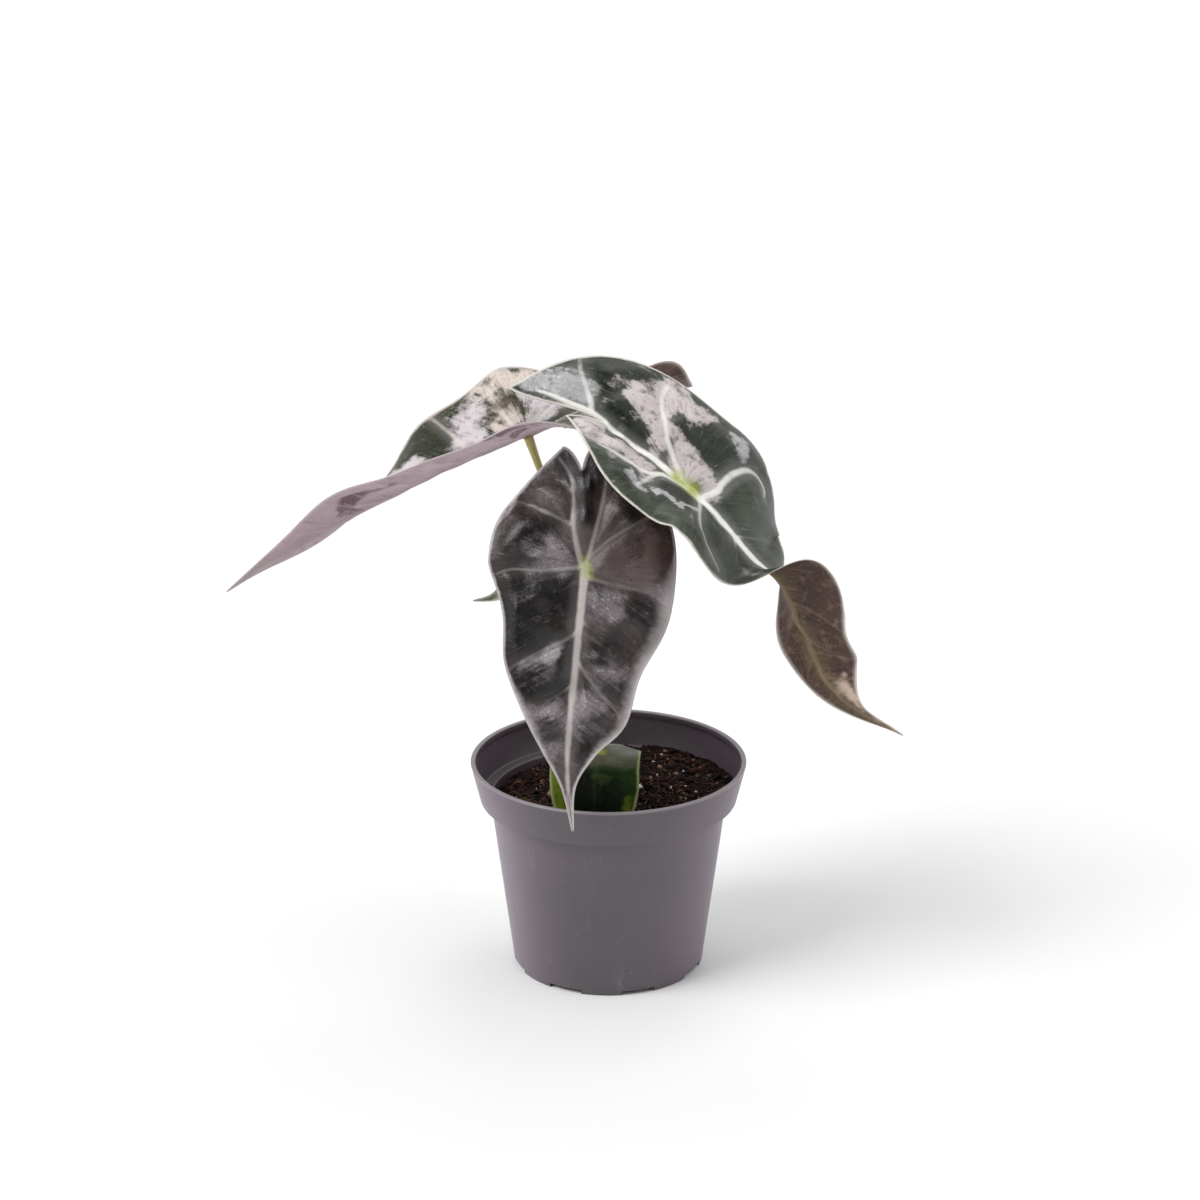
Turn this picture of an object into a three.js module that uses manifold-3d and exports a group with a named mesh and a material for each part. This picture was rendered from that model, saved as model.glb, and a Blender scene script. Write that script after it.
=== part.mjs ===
import * as THREE from "three";
import { mergeVertices } from "three/addons/utils/BufferGeometryUtils.js";
import Module from "manifold-3d";

// A potted alocasia with arrow-shaped leaves. Millimetres, +Z up, +X to the right and -Y to the front.
// The origin is the centre of the flat foot that the pot stands on.

const wasm = await Module();
wasm.setup();

// Clearance between pieces that touch
const GAP = 0.3;

// Nursery pot
const POT_HEIGHT = 93.5;
const RIM_RADIUS = 60;
const FOOT_RADIUS = 41.6;
const FOOT_CHAMFER = 1;
const BODY_TOP_RADIUS = 51.5;
const COLLAR_BOTTOM_RADIUS = 55.9;
const COLLAR_DEPTH = 17;
const LIP_WIDTH = 2.2;
const LIP_DEPTH = 3;
const LIP_ROUND = 0.5;
const WALL = 1.4;
const FLOOR_THICKNESS = 1.6;
const POT_SIDES = 72;

// Drain slots cut through the foot edge, even steps round the pot
const SLOT_COUNT = 8;
const SLOT_ANGLE = 21;
const SLOT_FIRST_ANGLE = -27;
const SLOT_HEIGHT = 2;
const SLOT_INNER_RADIUS = 35;
const SLOT_OUTER_RADIUS = 46;
const SLOT_STEPS = 6;

// Potting soil, lower on the left and heaped over the inner ledge on the right
const SOIL_LEVEL = 77.2;
const SOIL_RISE = 2.8;
const SOIL_RISE_LENGTH = 30;
const SOIL_LUMP = 0.7;
const SOIL_CRUMB = 0.45;
const SOIL_RINGS = 13;
const SOIL_SIDES = 44;
const SOIL_BLOCK_RADIUS = 57;

// Crown of the rootstock, standing in a hole in the soil
const CROWN_X = -8;
const CROWN_Y = 13;
const CROWN_RADIUS = 8;
const CROWN_TOP = 80;
const CROWN_BOTTOM = 56;
const CROWN_ROUND = 2.5;
const CROWN_BEVEL = 0.5;
const CROWN_SIDES = 28;

// Leaf stalks
const STALK_RING_RADIUS = 5;
const STALK_BASE_RADIUS = 2.3;
const STALK_TOP_RADIUS = 1.35;
const STALK_SIDES = 10;
const STALK_STEP = 7;
const STALK_STEPS = [7, 22];
const STALK_ENTRY = 11;
const STALK_ENTRY_SHARE = 0.3;
const STALK_UPRIGHT = 4;

// Leaf blades: how straight the sides of the sinus are, how full a back lobe is, how pointed its end
const BLADE_THICKNESS = 0.8;
const SAMPLES_PER_RIB = 60;
const SINUS_WEDGE = 0.35;
const LOBE_FULLNESS = 2.6;
const LOBE_POINT = 1.1;

const LEFT = 0;
const RIGHT = 1;

// One rib of a blade: its midrib point, the way the upper face looks, then pairs for the left and right half:
// degrees that it lifts from the midrib, degrees that it curls on the way out, and its width.
function rib(at, up, lift, curl, half) {
  return { at: new THREE.Vector3(...at), up: new THREE.Vector3(...up).normalize(), lift, curl, half };
}

// junction: the rib where the stalk meets the blade; ribs before it carry the back lobes.
// lobeTip: distance of each lobe's tip from the midline, as a share of the width at the junction.
// lobeShare: each lobe's length as a share of the longer one. sinus: share over which the lobes are fused.
// wave: height, length and phase of each margin's waves. stalkFrom: the stalk's place round the crown.
// stalkVia: the points that the stalk passes.
const LEAVES = {
  front: {
    color: 0x3f3a3c,
    junction: 2,
    lobeTip: [0.2, 0.175],
    lobeShare: [1, 1],
    sinus: 0.8,
    wave: [[1.5, 42, 0.1], [1.5, 48, 0.4]],
    rows: [7, 20],
    columns: 5,
    stalkFrom: 330,
    stalkVia: [[-4, 8, 105], [-6, -5, 150], [-9, -24, 183]],
    ribs: [
      rib([-12, -30, 245], [0, -1, 0.5], [-10, -10], [-20, -20], [38, 40]),
      rib([-10, -42, 223], [0, -1, 0.4], [-4, -4], [-20, -20], [38, 40]),
      rib([-10, -50, 199], [0, -1, 0.3], [4, 4], [-20, -20], [38, 40]),
      rib([-12, -57, 178], [0, -1, 0.25], [6, 6], [-20, -20], [36, 32]),
      rib([-14, -62, 158], [0, -1, 0.2], [6, 6], [-15, -15], [27, 29]),
      rib([-16, -66, 138], [0, -1, 0.2], [8, 8], [-15, -15], [23, 19]),
      rib([-17, -67, 124], [0, -1, 0.1], [10, 10], [-10, -10], [12, 10.5]),
      rib([-17, -68, 109], [0, -1, 0.1], [10, 10], [-10, -10], [3.5, 3]),
      rib([-15, -70, 90], [0, -1, 0], [10, 10], [0, 0], [0.5, 0.5]),
    ],
  },
  right: {
    color: 0x4a5a48,
    junction: 2,
    lobeTip: [0.16, 0.14],
    lobeShare: [1, 0.68],
    sinus: 0.5,
    wave: [[0.8, 50, 0], [1, 50, 0.3]],
    rows: [8, 30],
    columns: 5,
    stalkFrom: 30,
    stalkVia: [[-1, 14, 120], [7, 1, 168], [17, -17, 204]],
    ribs: [
      rib([-43, -18, 260], [0.1, -0.75, 0.65], [-5, 30], [-20, -20], [38, 30]),
      rib([-4, -26, 254], [0.2, -0.75, 0.65], [4, 36], [-40, -20], [38, 34]),
      rib([30, -38, 230], [0.4, -0.75, 0.55], [14, 36], [-50, -20], [45, 35]),
      rib([43, -44, 219], [0.5, -0.7, 0.5], [12, 36], [-50, -10], [42, 36]),
      rib([54, -50, 208], [0.6, -0.5, 0.55], [0, 0], [-30, 20], [36, 32]),
      rib([60, -53, 202], [0.65, -0.15, 0.65], [10, -25], [0, 20], [30, 24]),
      rib([67, -54, 196], [0.5, 0.8, 0.3], [72, 0], [0, 0], [22, 24]),
      rib([74, -54, 185], [0.6, 0.75, 0.35], [32, 10], [0, 0], [17, 27]),
      rib([82, -54, 168], [0.5, 0.85, 0.2], [3, -8], [0, 0], [15.5, 21]),
      rib([90, -54, 151], [0.4, 0.85, 0.2], [9, 10], [0, 0], [12, 15]),
      rib([104, -54, 137], [0.3, 0.9, 0.4], [0, -15], [0, 0], [5, 4]),
      rib([122, -54, 126], [0.3, 0.9, 0.4], [30, 30], [0, 0], [0.5, 0.5]),
    ],
  },
  left: {
    color: 0x414d2c,
    junction: 2,
    lobeTip: [0.3, 0.42],
    lobeShare: [1, 1],
    sinus: 0.35,
    wave: [[0.8, 40, 0.2], [1.5, 55, 0.3]],
    rows: [6, 24],
    columns: 5,
    stalkFrom: 150,
    stalkVia: [[-15, 15, 120], [-18, 10, 170], [-24, 1, 210]],
    ribs: [
      rib([2, 6, 247], [0.1, 0, 1], [-5, 5], [0, 0], [34, 36]),
      rib([-17, 0, 247], [0, 0, 1], [8, 20], [0, 0], [36, 38]),
      rib([-34, -5, 242], [-0.2, 0, 1], [17, 30], [10, 0], [36, 40]),
      rib([-54, -8, 234.5], [-0.3, 0, 1], [19, 28], [10, 0], [34, 38]),
      rib([-71, -10, 227], [-0.3, 0, 1], [19, 26], [15, 0], [31, 33]),
      rib([-87, -12, 219.5], [-0.3, 0.1, 1], [20, 15], [15, 0], [28, 25]),
      rib([-108, -14, 209], [-0.3, 0.4, 0.9], [16, 10], [15, 0], [22, 17]),
      rib([-129, -15, 196], [-0.3, 0.7, 0.7], [10, 10], [10, 0], [11, 8]),
      rib([-146, -15, 186], [-0.3, 0.8, 0.6], [10, 10], [0, 0], [4, 3]),
      rib([-161, -15, 175.5], [-0.3, 0.8, 0.6], [20, 20], [0, 0], [0.5, 0.5]),
    ],
  },
  back: {
    color: 0x4a3a34,
    junction: 1,
    lobeTip: [0.42, 0.42],
    lobeShare: [1, 1],
    sinus: 0.35,
    wave: [[1.5, 40, 0], [1.5, 40, 0.3]],
    rows: [5, 18],
    columns: 4,
    stalkFrom: 90,
    stalkVia: [[-7, 19, 120], [-2, 22, 190]],
    ribs: [
      rib([-12, 14, 238], [-0.2, 0, 1], [5, 5], [0, 0], [20, 20]),
      rib([-2, 28, 242], [-0.1, 0.1, 1], [22, 35], [0, 0], [21, 20]),
      rib([9, 44, 245], [0.1, 0.2, 1], [36, 55], [0, 0], [21, 19]),
      rib([19, 59, 244], [0.2, 0.2, 1], [34, 46], [0, 0], [18, 17]),
      rib([28, 72, 241], [0.2, 0.2, 1], [20, 28], [0, 0], [11, 10]),
      rib([34, 81, 238], [0.2, 0.2, 1], [10, 20], [0, 0], [5, 4]),
      rib([37, 90, 236], [0.2, 0.2, 1], [10, 20], [0, 0], [0.5, 0.5]),
    ],
  },
  side: {
    color: 0x6a7262,
    junction: 1,
    lobeTip: [0.42, 0.42],
    lobeShare: [1, 1],
    sinus: 0.3,
    wave: [[0.8, 30, 0], [0.8, 30, 0.3]],
    rows: [4, 12],
    columns: 3,
    stalkFrom: 210,
    stalkVia: [[-14, 9, 115], [-19, 4, 152]],
    ribs: [
      rib([-14, -2, 190], [0, -0.6, 0.8], [-10, -10], [0, 0], [10, 10]),
      rib([-24, -10, 187], [0, -0.6, 0.8], [0, 0], [0, 0], [10, 10]),
      rib([-33, -14, 182], [-0.3, -0.6, 0.8], [0, 0], [0, 0], [8, 8]),
      rib([-42, -18, 177], [-0.3, -0.6, 0.8], [10, 10], [0, 0], [4, 5]),
      rib([-49, -20, 174], [-0.3, -0.6, 0.8], [20, 20], [0, 0], [1.5, 2.5]),
      rib([-57, -22, 174], [-0.3, -0.6, 0.8], [30, 30], [0, 0], [0.5, 0.5]),
    ],
  },
  low: {
    color: 0x24401c,
    junction: 1,
    lobeTip: [0.45, 0.45],
    lobeShare: [1, 1],
    sinus: 0.3,
    wave: [[0.6, 30, 0], [0.6, 30, 0.3]],
    rows: [4, 12],
    columns: 3,
    stalkFrom: 270,
    stalkVia: [[-7, 2, 87]],
    ribs: [
      rib([-4, 4, 100], [0, 0.4, 1], [-10, -10], [0, 0], [18, 18]),
      rib([-5, -12, 102], [0, 0, 1], [0, 0], [0, 0], [19, 19]),
      rib([-6, -30, 102], [0, -0.2, 1], [0, 0], [0, 0], [19, 19]),
      rib([-6, -39, 93], [0, -0.9, 0.3], [0, 0], [0, 0], [18.5, 18.5]),
      rib([-6, -43, 80.5], [0, -1, 0.1], [10, 10], [0, 0], [15, 15]),
    ],
  },
};

const radians = THREE.MathUtils.degToRad;

// A closed geometry as a solid, with only its positions kept and its shared vertices merged.
function solidOf(geometry) {
  const bare = geometry.clone();
  bare.deleteAttribute("normal");
  bare.deleteAttribute("uv");
  const merged = mergeVertices(bare, 1e-4);
  return new wasm.Manifold(
    new wasm.Mesh({
      numProp: 3,
      vertProperties: new Float32Array(merged.attributes.position.array),
      triVerts: new Uint32Array(merged.index.array),
    }),
  );
}

function geometryOf(solid) {
  const mesh = solid.getMesh();
  const geometry = new THREE.BufferGeometry();
  geometry.setAttribute("position", new THREE.BufferAttribute(mesh.vertProperties, 3));
  geometry.setIndex(new THREE.BufferAttribute(mesh.triVerts, 1));
  geometry.computeVertexNormals();
  return geometry;
}

// Turns a profile of [radius, height] points about +Z.
function turned(points, sides) {
  const profile = points.map(([radius, height]) => new THREE.Vector2(radius, height));
  return new THREE.LatheGeometry(profile, sides).rotateX(Math.PI / 2);
}

// A closed geometry from corner points and triangles.
function facets(points, triangles) {
  const geometry = new THREE.BufferGeometry();
  geometry.setAttribute("position", new THREE.Float32BufferAttribute(points.flatMap((p) => p.toArray()), 3));
  geometry.setIndex(triangles.flat());
  geometry.computeVertexNormals();
  return geometry;
}

const bodyTop = POT_HEIGHT - COLLAR_DEPTH;
const ledgeTop = bodyTop + WALL;
const bodySlope = (BODY_TOP_RADIUS - FOOT_RADIUS) / bodyTop;
const collarSlope = (RIM_RADIUS - COLLAR_BOTTOM_RADIUS) / COLLAR_DEPTH;

function bodyInnerRadius(height) {
  return FOOT_RADIUS + bodySlope * height - WALL;
}

function collarInnerRadius(height) {
  return COLLAR_BOTTOM_RADIUS + collarSlope * (height - bodyTop) - WALL;
}

// A wedge of the foot edge, SLOT_ANGLE wide and open outwards and downwards.
function drainSlot(angle) {
  const outline = new THREE.Shape();
  const edge = (radius, step) => {
    const turn = radians(angle - 90 + SLOT_ANGLE * (step / SLOT_STEPS - 0.5));
    return new THREE.Vector2(radius * Math.cos(turn), radius * Math.sin(turn));
  };
  const steps = [...Array(SLOT_STEPS + 1).keys()];
  const inner = steps.map((step) => edge(SLOT_INNER_RADIUS, SLOT_STEPS - step));
  outline.setFromPoints([...steps.map((step) => edge(SLOT_OUTER_RADIUS, step)), ...inner]);
  const wedge = new THREE.ExtrudeGeometry(outline, { depth: SLOT_HEIGHT + 1, bevelEnabled: false, steps: 1 });
  return solidOf(wedge.translate(0, 0, -1));
}

function potGeometry() {
  const lipBottom = POT_HEIGHT - LIP_DEPTH;
  const wall = turned(
    [
      [0, 0],
      [FOOT_RADIUS - FOOT_CHAMFER, 0],
      [FOOT_RADIUS, FOOT_CHAMFER],
      [BODY_TOP_RADIUS, bodyTop],
      [COLLAR_BOTTOM_RADIUS, bodyTop],
      [RIM_RADIUS, POT_HEIGHT - LIP_ROUND],
      [RIM_RADIUS - LIP_ROUND, POT_HEIGHT],
      [RIM_RADIUS - LIP_WIDTH + LIP_ROUND, POT_HEIGHT],
      [RIM_RADIUS - LIP_WIDTH, POT_HEIGHT - LIP_ROUND],
      [RIM_RADIUS - LIP_WIDTH, lipBottom + LIP_ROUND],
      [collarInnerRadius(lipBottom), lipBottom],
      [collarInnerRadius(ledgeTop), ledgeTop],
      [bodyInnerRadius(ledgeTop), ledgeTop],
      [bodyInnerRadius(FLOOR_THICKNESS), FLOOR_THICKNESS],
      [0, FLOOR_THICKNESS],
    ],
    POT_SIDES,
  );
  let pot = solidOf(wall);
  for (let slot = 0; slot < SLOT_COUNT; slot++)
    pot = pot.subtract(drainSlot(SLOT_FIRST_ANGLE + (slot * 360) / SLOT_COUNT));
  return geometryOf(pot);
}

// Height of the crumbly soil surface: a gentle slope with two sizes of lumps.
function soilTop(x, y) {
  const slope = SOIL_RISE * Math.tanh(x / SOIL_RISE_LENGTH);
  const lumps = Math.sin(0.42 * x + 1.7 * Math.sin(0.23 * y)) * Math.cos(0.37 * y + 0.9 * Math.sin(0.31 * x));
  const crumbs = Math.sin(0.83 * x + 0.6) * Math.sin(0.79 * y - 1.1);
  return SOIL_LEVEL + slope + SOIL_LUMP * lumps + SOIL_CRUMB * crumbs;
}

// A round block whose top follows soilTop.
function soilBlock() {
  const bottom = new THREE.Vector3(0, 0, 0);
  const middle = new THREE.Vector3(0, 0, soilTop(0, 0));
  const points = [bottom, middle];
  const triangles = [];
  const corner = (ring, side) => 2 + ring * SOIL_SIDES + (side % SOIL_SIDES);
  for (let ring = 0; ring <= SOIL_RINGS; ring++)
    for (let side = 0; side < SOIL_SIDES; side++) {
      const turn = (2 * Math.PI * side) / SOIL_SIDES;
      const radius = (SOIL_BLOCK_RADIUS * Math.min(ring + 1, SOIL_RINGS)) / SOIL_RINGS;
      const x = radius * Math.cos(turn);
      const y = radius * Math.sin(turn);
      points.push(new THREE.Vector3(x, y, ring < SOIL_RINGS ? soilTop(x, y) : 0));
    }
  for (let side = 0; side < SOIL_SIDES; side++) {
    triangles.push([1, corner(0, side), corner(0, side + 1)]);
    triangles.push([0, corner(SOIL_RINGS, side + 1), corner(SOIL_RINGS, side)]);
    for (let ring = 0; ring < SOIL_RINGS; ring++) {
      triangles.push([corner(ring, side), corner(ring + 1, side), corner(ring + 1, side + 1)]);
      triangles.push([corner(ring, side), corner(ring + 1, side + 1), corner(ring, side + 1)]);
    }
  }
  return solidOf(facets(points, triangles));
}

// The room inside the pot, a gap clear of its wall, ledge and floor.
function potRoom() {
  const floor = Math.max(FLOOR_THICKNESS, SLOT_HEIGHT) + GAP;
  const ledge = ledgeTop + GAP;
  const above = POT_HEIGHT;
  return solidOf(
    turned(
      [
        [0, floor],
        [bodyInnerRadius(floor) - GAP, floor],
        [bodyInnerRadius(ledge) - GAP, ledge],
        [collarInnerRadius(ledge) - GAP, ledge],
        [collarInnerRadius(above) - GAP, above],
        [0, above],
      ],
      POT_SIDES,
    ),
  );
}

function crownHole() {
  const radius = CROWN_RADIUS + GAP;
  const deep = CROWN_BOTTOM - GAP;
  const hole = turned([[0, deep], [radius, deep], [radius, POT_HEIGHT], [0, POT_HEIGHT]], CROWN_SIDES);
  return solidOf(hole.translate(CROWN_X, CROWN_Y, 0));
}

function soilGeometry() {
  return geometryOf(soilBlock().intersect(potRoom()).subtract(crownHole()));
}

function crownGeometry() {
  const shoulder = CROWN_RADIUS - CROWN_ROUND;
  const crown = turned(
    [
      [0, CROWN_BOTTOM],
      [shoulder, CROWN_BOTTOM],
      [CROWN_RADIUS, CROWN_BOTTOM + 2 * CROWN_ROUND],
      [CROWN_RADIUS, CROWN_TOP - CROWN_BEVEL],
      [CROWN_RADIUS - CROWN_BEVEL, CROWN_TOP],
      [0, CROWN_TOP],
    ],
    CROWN_SIDES,
  );
  return geometryOf(solidOf(crown.translate(CROWN_X, CROWN_Y, 0)));
}

// Smooth curve through one value per rib; place is counted in ribs.
function blend(values, place) {
  const last = values.length - 1;
  const from = Math.min(Math.max(Math.floor(place), 0), last - 1);
  const t = place - from;
  const slope = (i) => {
    const before = Math.max(i - 1, 0);
    const after = Math.min(i + 1, last);
    return (values[after] - values[before]) / (after - before);
  };
  const a = values[from];
  const b = values[from + 1];
  return (
    a * (2 * t ** 3 - 3 * t ** 2 + 1) +
    slope(from) * (t ** 3 - 2 * t ** 2 + t) +
    b * (3 * t ** 2 - 2 * t ** 3) +
    slope(from + 1) * (t ** 3 - t ** 2)
  );
}

function blendVector(vectors, place) {
  return new THREE.Vector3(...["x", "y", "z"].map((axis) => blend(vectors.map((v) => v[axis]), place)));
}

// The middle surface of a leaf blade. A point on it has a side, a distance out from the midrib and a
// distance along it, counted from the stalk and negative in the back lobes.
class Blade {
  constructor(leaf) {
    this.leaf = leaf;
    this.points = leaf.ribs.map((r) => r.at);
    this.ups = leaf.ribs.map((r) => r.up);
    this.widest = [LEFT, RIGHT].map((side) => Math.max(...leaf.ribs.map((r) => r.half[side])));
    this.measure();
  }

  // Tables of distance along the midrib against place.
  measure() {
    const samples = SAMPLES_PER_RIB * this.points.length;
    const last = this.points.length - 1;
    this.places = [...Array(samples + 1).keys()].map((i) => (last * i) / samples);
    this.lengths = [0];
    let before = blendVector(this.points, 0);
    for (const place of this.places.slice(1)) {
      const here = blendVector(this.points, place);
      this.lengths.push(this.lengths.at(-1) + here.distanceTo(before));
      before = here;
    }
    const atJunction = this.lengths[Math.round((this.leaf.junction * samples) / last)];
    this.lengths = this.lengths.map((length) => length - atJunction);
    this.backLength = -this.lengths[0];
    this.frontLength = this.lengths.at(-1);
  }

  placeAt(along) {
    const last = this.lengths.length - 1;
    let i = this.lengths.findIndex((length) => length > along);
    if (i < 0) i = last;
    i = Math.min(Math.max(i, 1), last);
    const share = (along - this.lengths[i - 1]) / (this.lengths[i] - this.lengths[i - 1]);
    return THREE.MathUtils.lerp(this.places[i - 1], this.places[i], THREE.MathUtils.clamp(share, 0, 1));
  }

  // Direction along the midrib and the upper face's normal there.
  frame(place) {
    const last = this.points.length - 1;
    const step = 1e-3;
    const ahead = blendVector(this.points, Math.min(place + step, last));
    const tangent = ahead.sub(blendVector(this.points, Math.max(place - step, 0))).normalize();
    const up = blendVector(this.ups, place).projectOnPlane(tangent).normalize();
    return { tangent, up };
  }

  point(side, out, along) {
    const place = this.placeAt(along);
    const { tangent, up } = this.frame(place);
    const outward = up.clone().cross(tangent).multiplyScalar(side === LEFT ? 1 : -1);
    const lift = radians(blend(this.leaf.ribs.map((r) => r.lift[side]), place));
    const curl = radians(blend(this.leaf.ribs.map((r) => r.curl[side]), place));
    const bend = Math.abs(curl) < 1e-6 ? 1e-6 : curl / this.widest[side];
    const reach = (Math.sin(lift + bend * out) - Math.sin(lift)) / bend;
    const rise = (Math.cos(lift) - Math.cos(lift + bend * out)) / bend;
    const [height, length, phase] = this.leaf.wave[side];
    const share = THREE.MathUtils.clamp(out / this.widest[side], 0, 1);
    const wave = height * Math.sin(2 * Math.PI * (along / length + phase)) * share ** 2;
    return blendVector(this.points, place).addScaledVector(outward, reach).addScaledVector(up, rise + wave);
  }

  // Inner and outer edge of one half at a distance along the midrib.
  edges(side, along) {
    const half = this.leaf.ribs.map((r) => r.half[side]);
    if (along >= 0) return [0, Math.max(blend(half, this.placeAt(along)), 0)];
    const { lobeTip, lobeShare, sinus, junction } = this.leaf;
    const tip = lobeTip[side];
    const back = Math.min(-along / (this.backLength * lobeShare[side]), 1);
    const fused = sinus / lobeShare[side];
    const open = THREE.MathUtils.clamp((back - fused) / (1 - fused), 0, 1);
    const inner = tip * THREE.MathUtils.lerp(1 - Math.sqrt(1 - open ** 2), open, SINUS_WEDGE);
    const outer = tip + (1 - tip) * (1 - back ** LOBE_FULLNESS) ** LOBE_POINT;
    return [inner * half[junction], outer * half[junction]];
  }

  // Distances of the rows of points along the midrib, closer together at the lobe's tip.
  rowsOf(side) {
    const [lobeRows, frontRows] = this.leaf.rows;
    const tip = -this.backLength * this.leaf.lobeShare[side];
    const fused = -this.backLength * this.leaf.sinus;
    const lobe = [...Array(lobeRows).keys()].map(
      (i) => tip + (fused - tip) * (1 - Math.cos((Math.PI / 2) * (i / lobeRows))),
    );
    const front = [...Array(frontRows + 1).keys()].map(
      (i) => fused + (this.frontLength - fused) * (i / frontRows),
    );
    return [...lobe, ...front];
  }
}

// The blade as a sheet of even thickness, with the same triangles on both faces.
function bladeGeometry(leaf) {
  const blade = new Blade(leaf);
  const [lobeRows] = leaf.rows;
  const middle = [];
  const sheet = [];
  const midrib = new Map();
  for (const side of [LEFT, RIGHT]) {
    const rows = blade.rowsOf(side).map((along, row) => {
      const [inner, outer] = blade.edges(side, along);
      const corner = (column) => {
        const out = inner + ((outer - inner) * column) / leaf.columns;
        return middle.push(blade.point(side, out, along)) - 1;
      };
      if (row === 0) return Array(leaf.columns + 1).fill(corner(0));
      const first = midrib.get(row) ?? corner(0);
      if (row >= lobeRows) midrib.set(row, first);
      return [first, ...[...Array(leaf.columns).keys()].map((column) => corner(column + 1))];
    });
    for (let row = 1; row < rows.length; row++)
      for (let column = 0; column < leaf.columns; column++) {
        const [a, b] = [rows[row - 1][column], rows[row][column]];
        const [c, d] = [rows[row][column + 1], rows[row - 1][column + 1]];
        for (const triangle of [[a, b, c], [a, c, d]])
          if (new Set(triangle).size === 3) sheet.push(side === LEFT ? triangle : triangle.reverse());
      }
  }
  return thickened(middle, sheet, BLADE_THICKNESS);
}

// Closes a sheet of triangles into a solid of the given thickness.
function thickened(points, sheet, thickness) {
  const normals = points.map(() => new THREE.Vector3());
  for (const [a, b, c] of sheet) {
    const ab = points[b].clone().sub(points[a]);
    const face = ab.cross(points[c].clone().sub(points[a]));
    for (const corner of [a, b, c]) normals[corner].add(face);
  }
  for (const normal of normals) normal.normalize();
  const moved = (shift) => points.map((p, i) => p.clone().addScaledVector(normals[i], shift));
  const count = points.length;
  const triangles = [];
  const edges = new Set(sheet.flatMap(([a, b, c]) => [`${a} ${b}`, `${b} ${c}`, `${c} ${a}`]));
  for (const [a, b, c] of sheet) {
    triangles.push([a, b, c]);
    triangles.push([c + count, b + count, a + count]);
    for (const [from, to] of [[a, b], [b, c], [c, a]])
      if (!edges.has(`${to} ${from}`)) {
        triangles.push([to, from, from + count]);
        triangles.push([to, from + count, to + count]);
      }
  }
  return facets([...moved(thickness / 2), ...moved(-thickness / 2)], triangles);
}

// A round stalk from its place on the crown to the underside of its blade, thinning upwards.
function stalkGeometry(leaf) {
  const { at } = leaf.ribs[leaf.junction];
  const { up } = new Blade(leaf).frame(leaf.junction);
  const turn = radians(leaf.stalkFrom);
  const foot = new THREE.Vector3(
    CROWN_X + STALK_RING_RADIUS * Math.cos(turn),
    CROWN_Y + STALK_RING_RADIUS * Math.sin(turn),
    CROWN_TOP + GAP,
  );
  const top = at.clone().addScaledVector(up, -(BLADE_THICKNESS / 2 + GAP));
  const entryLength = Math.min(STALK_ENTRY, STALK_ENTRY_SHARE * top.distanceTo(foot));
  const entry = top.clone().addScaledVector(up, -entryLength);
  const rise = foot.clone().add(new THREE.Vector3(0, 0, STALK_UPRIGHT));
  const via = leaf.stalkVia.map((point) => new THREE.Vector3(...point));
  const curve = new THREE.CatmullRomCurve3([foot, rise, ...via, entry, top], false, "centripetal");
  const steps = Math.round(THREE.MathUtils.clamp(curve.getLength() / STALK_STEP, ...STALK_STEPS));
  const frames = curve.computeFrenetFrames(steps, false);
  const points = [];
  const triangles = [];
  const corner = (ring, side) => ring * STALK_SIDES + (side % STALK_SIDES);
  for (let ring = 0; ring <= steps; ring++) {
    const share = ring / steps;
    const radius = STALK_TOP_RADIUS + (STALK_BASE_RADIUS - STALK_TOP_RADIUS) * (1 - share) ** 2;
    const across = flatEnd(ring, steps, frames.normals[ring], up);
    const other = flatEnd(ring, steps, frames.binormals[ring], up);
    for (let side = 0; side < STALK_SIDES; side++) {
      const angle = (2 * Math.PI * side) / STALK_SIDES;
      const point = curve.getPointAt(share).addScaledVector(across, radius * Math.cos(angle));
      points.push(point.addScaledVector(other, radius * Math.sin(angle)));
    }
  }
  for (let side = 0; side < STALK_SIDES; side++)
    for (let ring = 0; ring < steps; ring++) {
      triangles.push([corner(ring, side), corner(ring, side + 1), corner(ring + 1, side + 1)]);
      triangles.push([corner(ring, side), corner(ring + 1, side + 1), corner(ring + 1, side)]);
    }
  for (let side = 1; side < STALK_SIDES - 1; side++) {
    triangles.push([corner(0, 0), corner(0, side + 1), corner(0, side)]);
    triangles.push([corner(steps, 0), corner(steps, side), corner(steps, side + 1)]);
  }
  return facets(points, triangles);
}

// Lays a ring direction flat on the crown at the foot, and along the blade's underside at the top.
function flatEnd(ring, steps, direction, up) {
  if (ring > 0 && ring < steps) return direction;
  return direction.clone().projectOnPlane(ring === 0 ? new THREE.Vector3(0, 0, 1) : up).normalize();
}

function finish(color, roughness) {
  return new THREE.MeshStandardMaterial({ color, roughness, metalness: 0 });
}

const group = new THREE.Group();

function place(name, geometry, material) {
  const mesh = new THREE.Mesh(geometry, material);
  mesh.name = name;
  group.add(mesh);
}

place("pot", potGeometry(), finish(0x6f666b, 0.55));
place("soil", soilGeometry(), finish(0x2e1f1a, 0.95));
place("crown", crownGeometry(), finish(0x6b5a3a, 0.8));
for (const [name, leaf] of Object.entries(LEAVES)) {
  place(`stalk_${name}`, stalkGeometry(leaf), finish(0x8f8f48, 0.5));
  place(`blade_${name}`, bladeGeometry(leaf), finish(leaf.color, 0.35));
}

export default group;
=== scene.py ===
import math
import random
import bmesh
import bpy
import numpy as np
from mathutils import Matrix, Vector, noise


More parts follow.
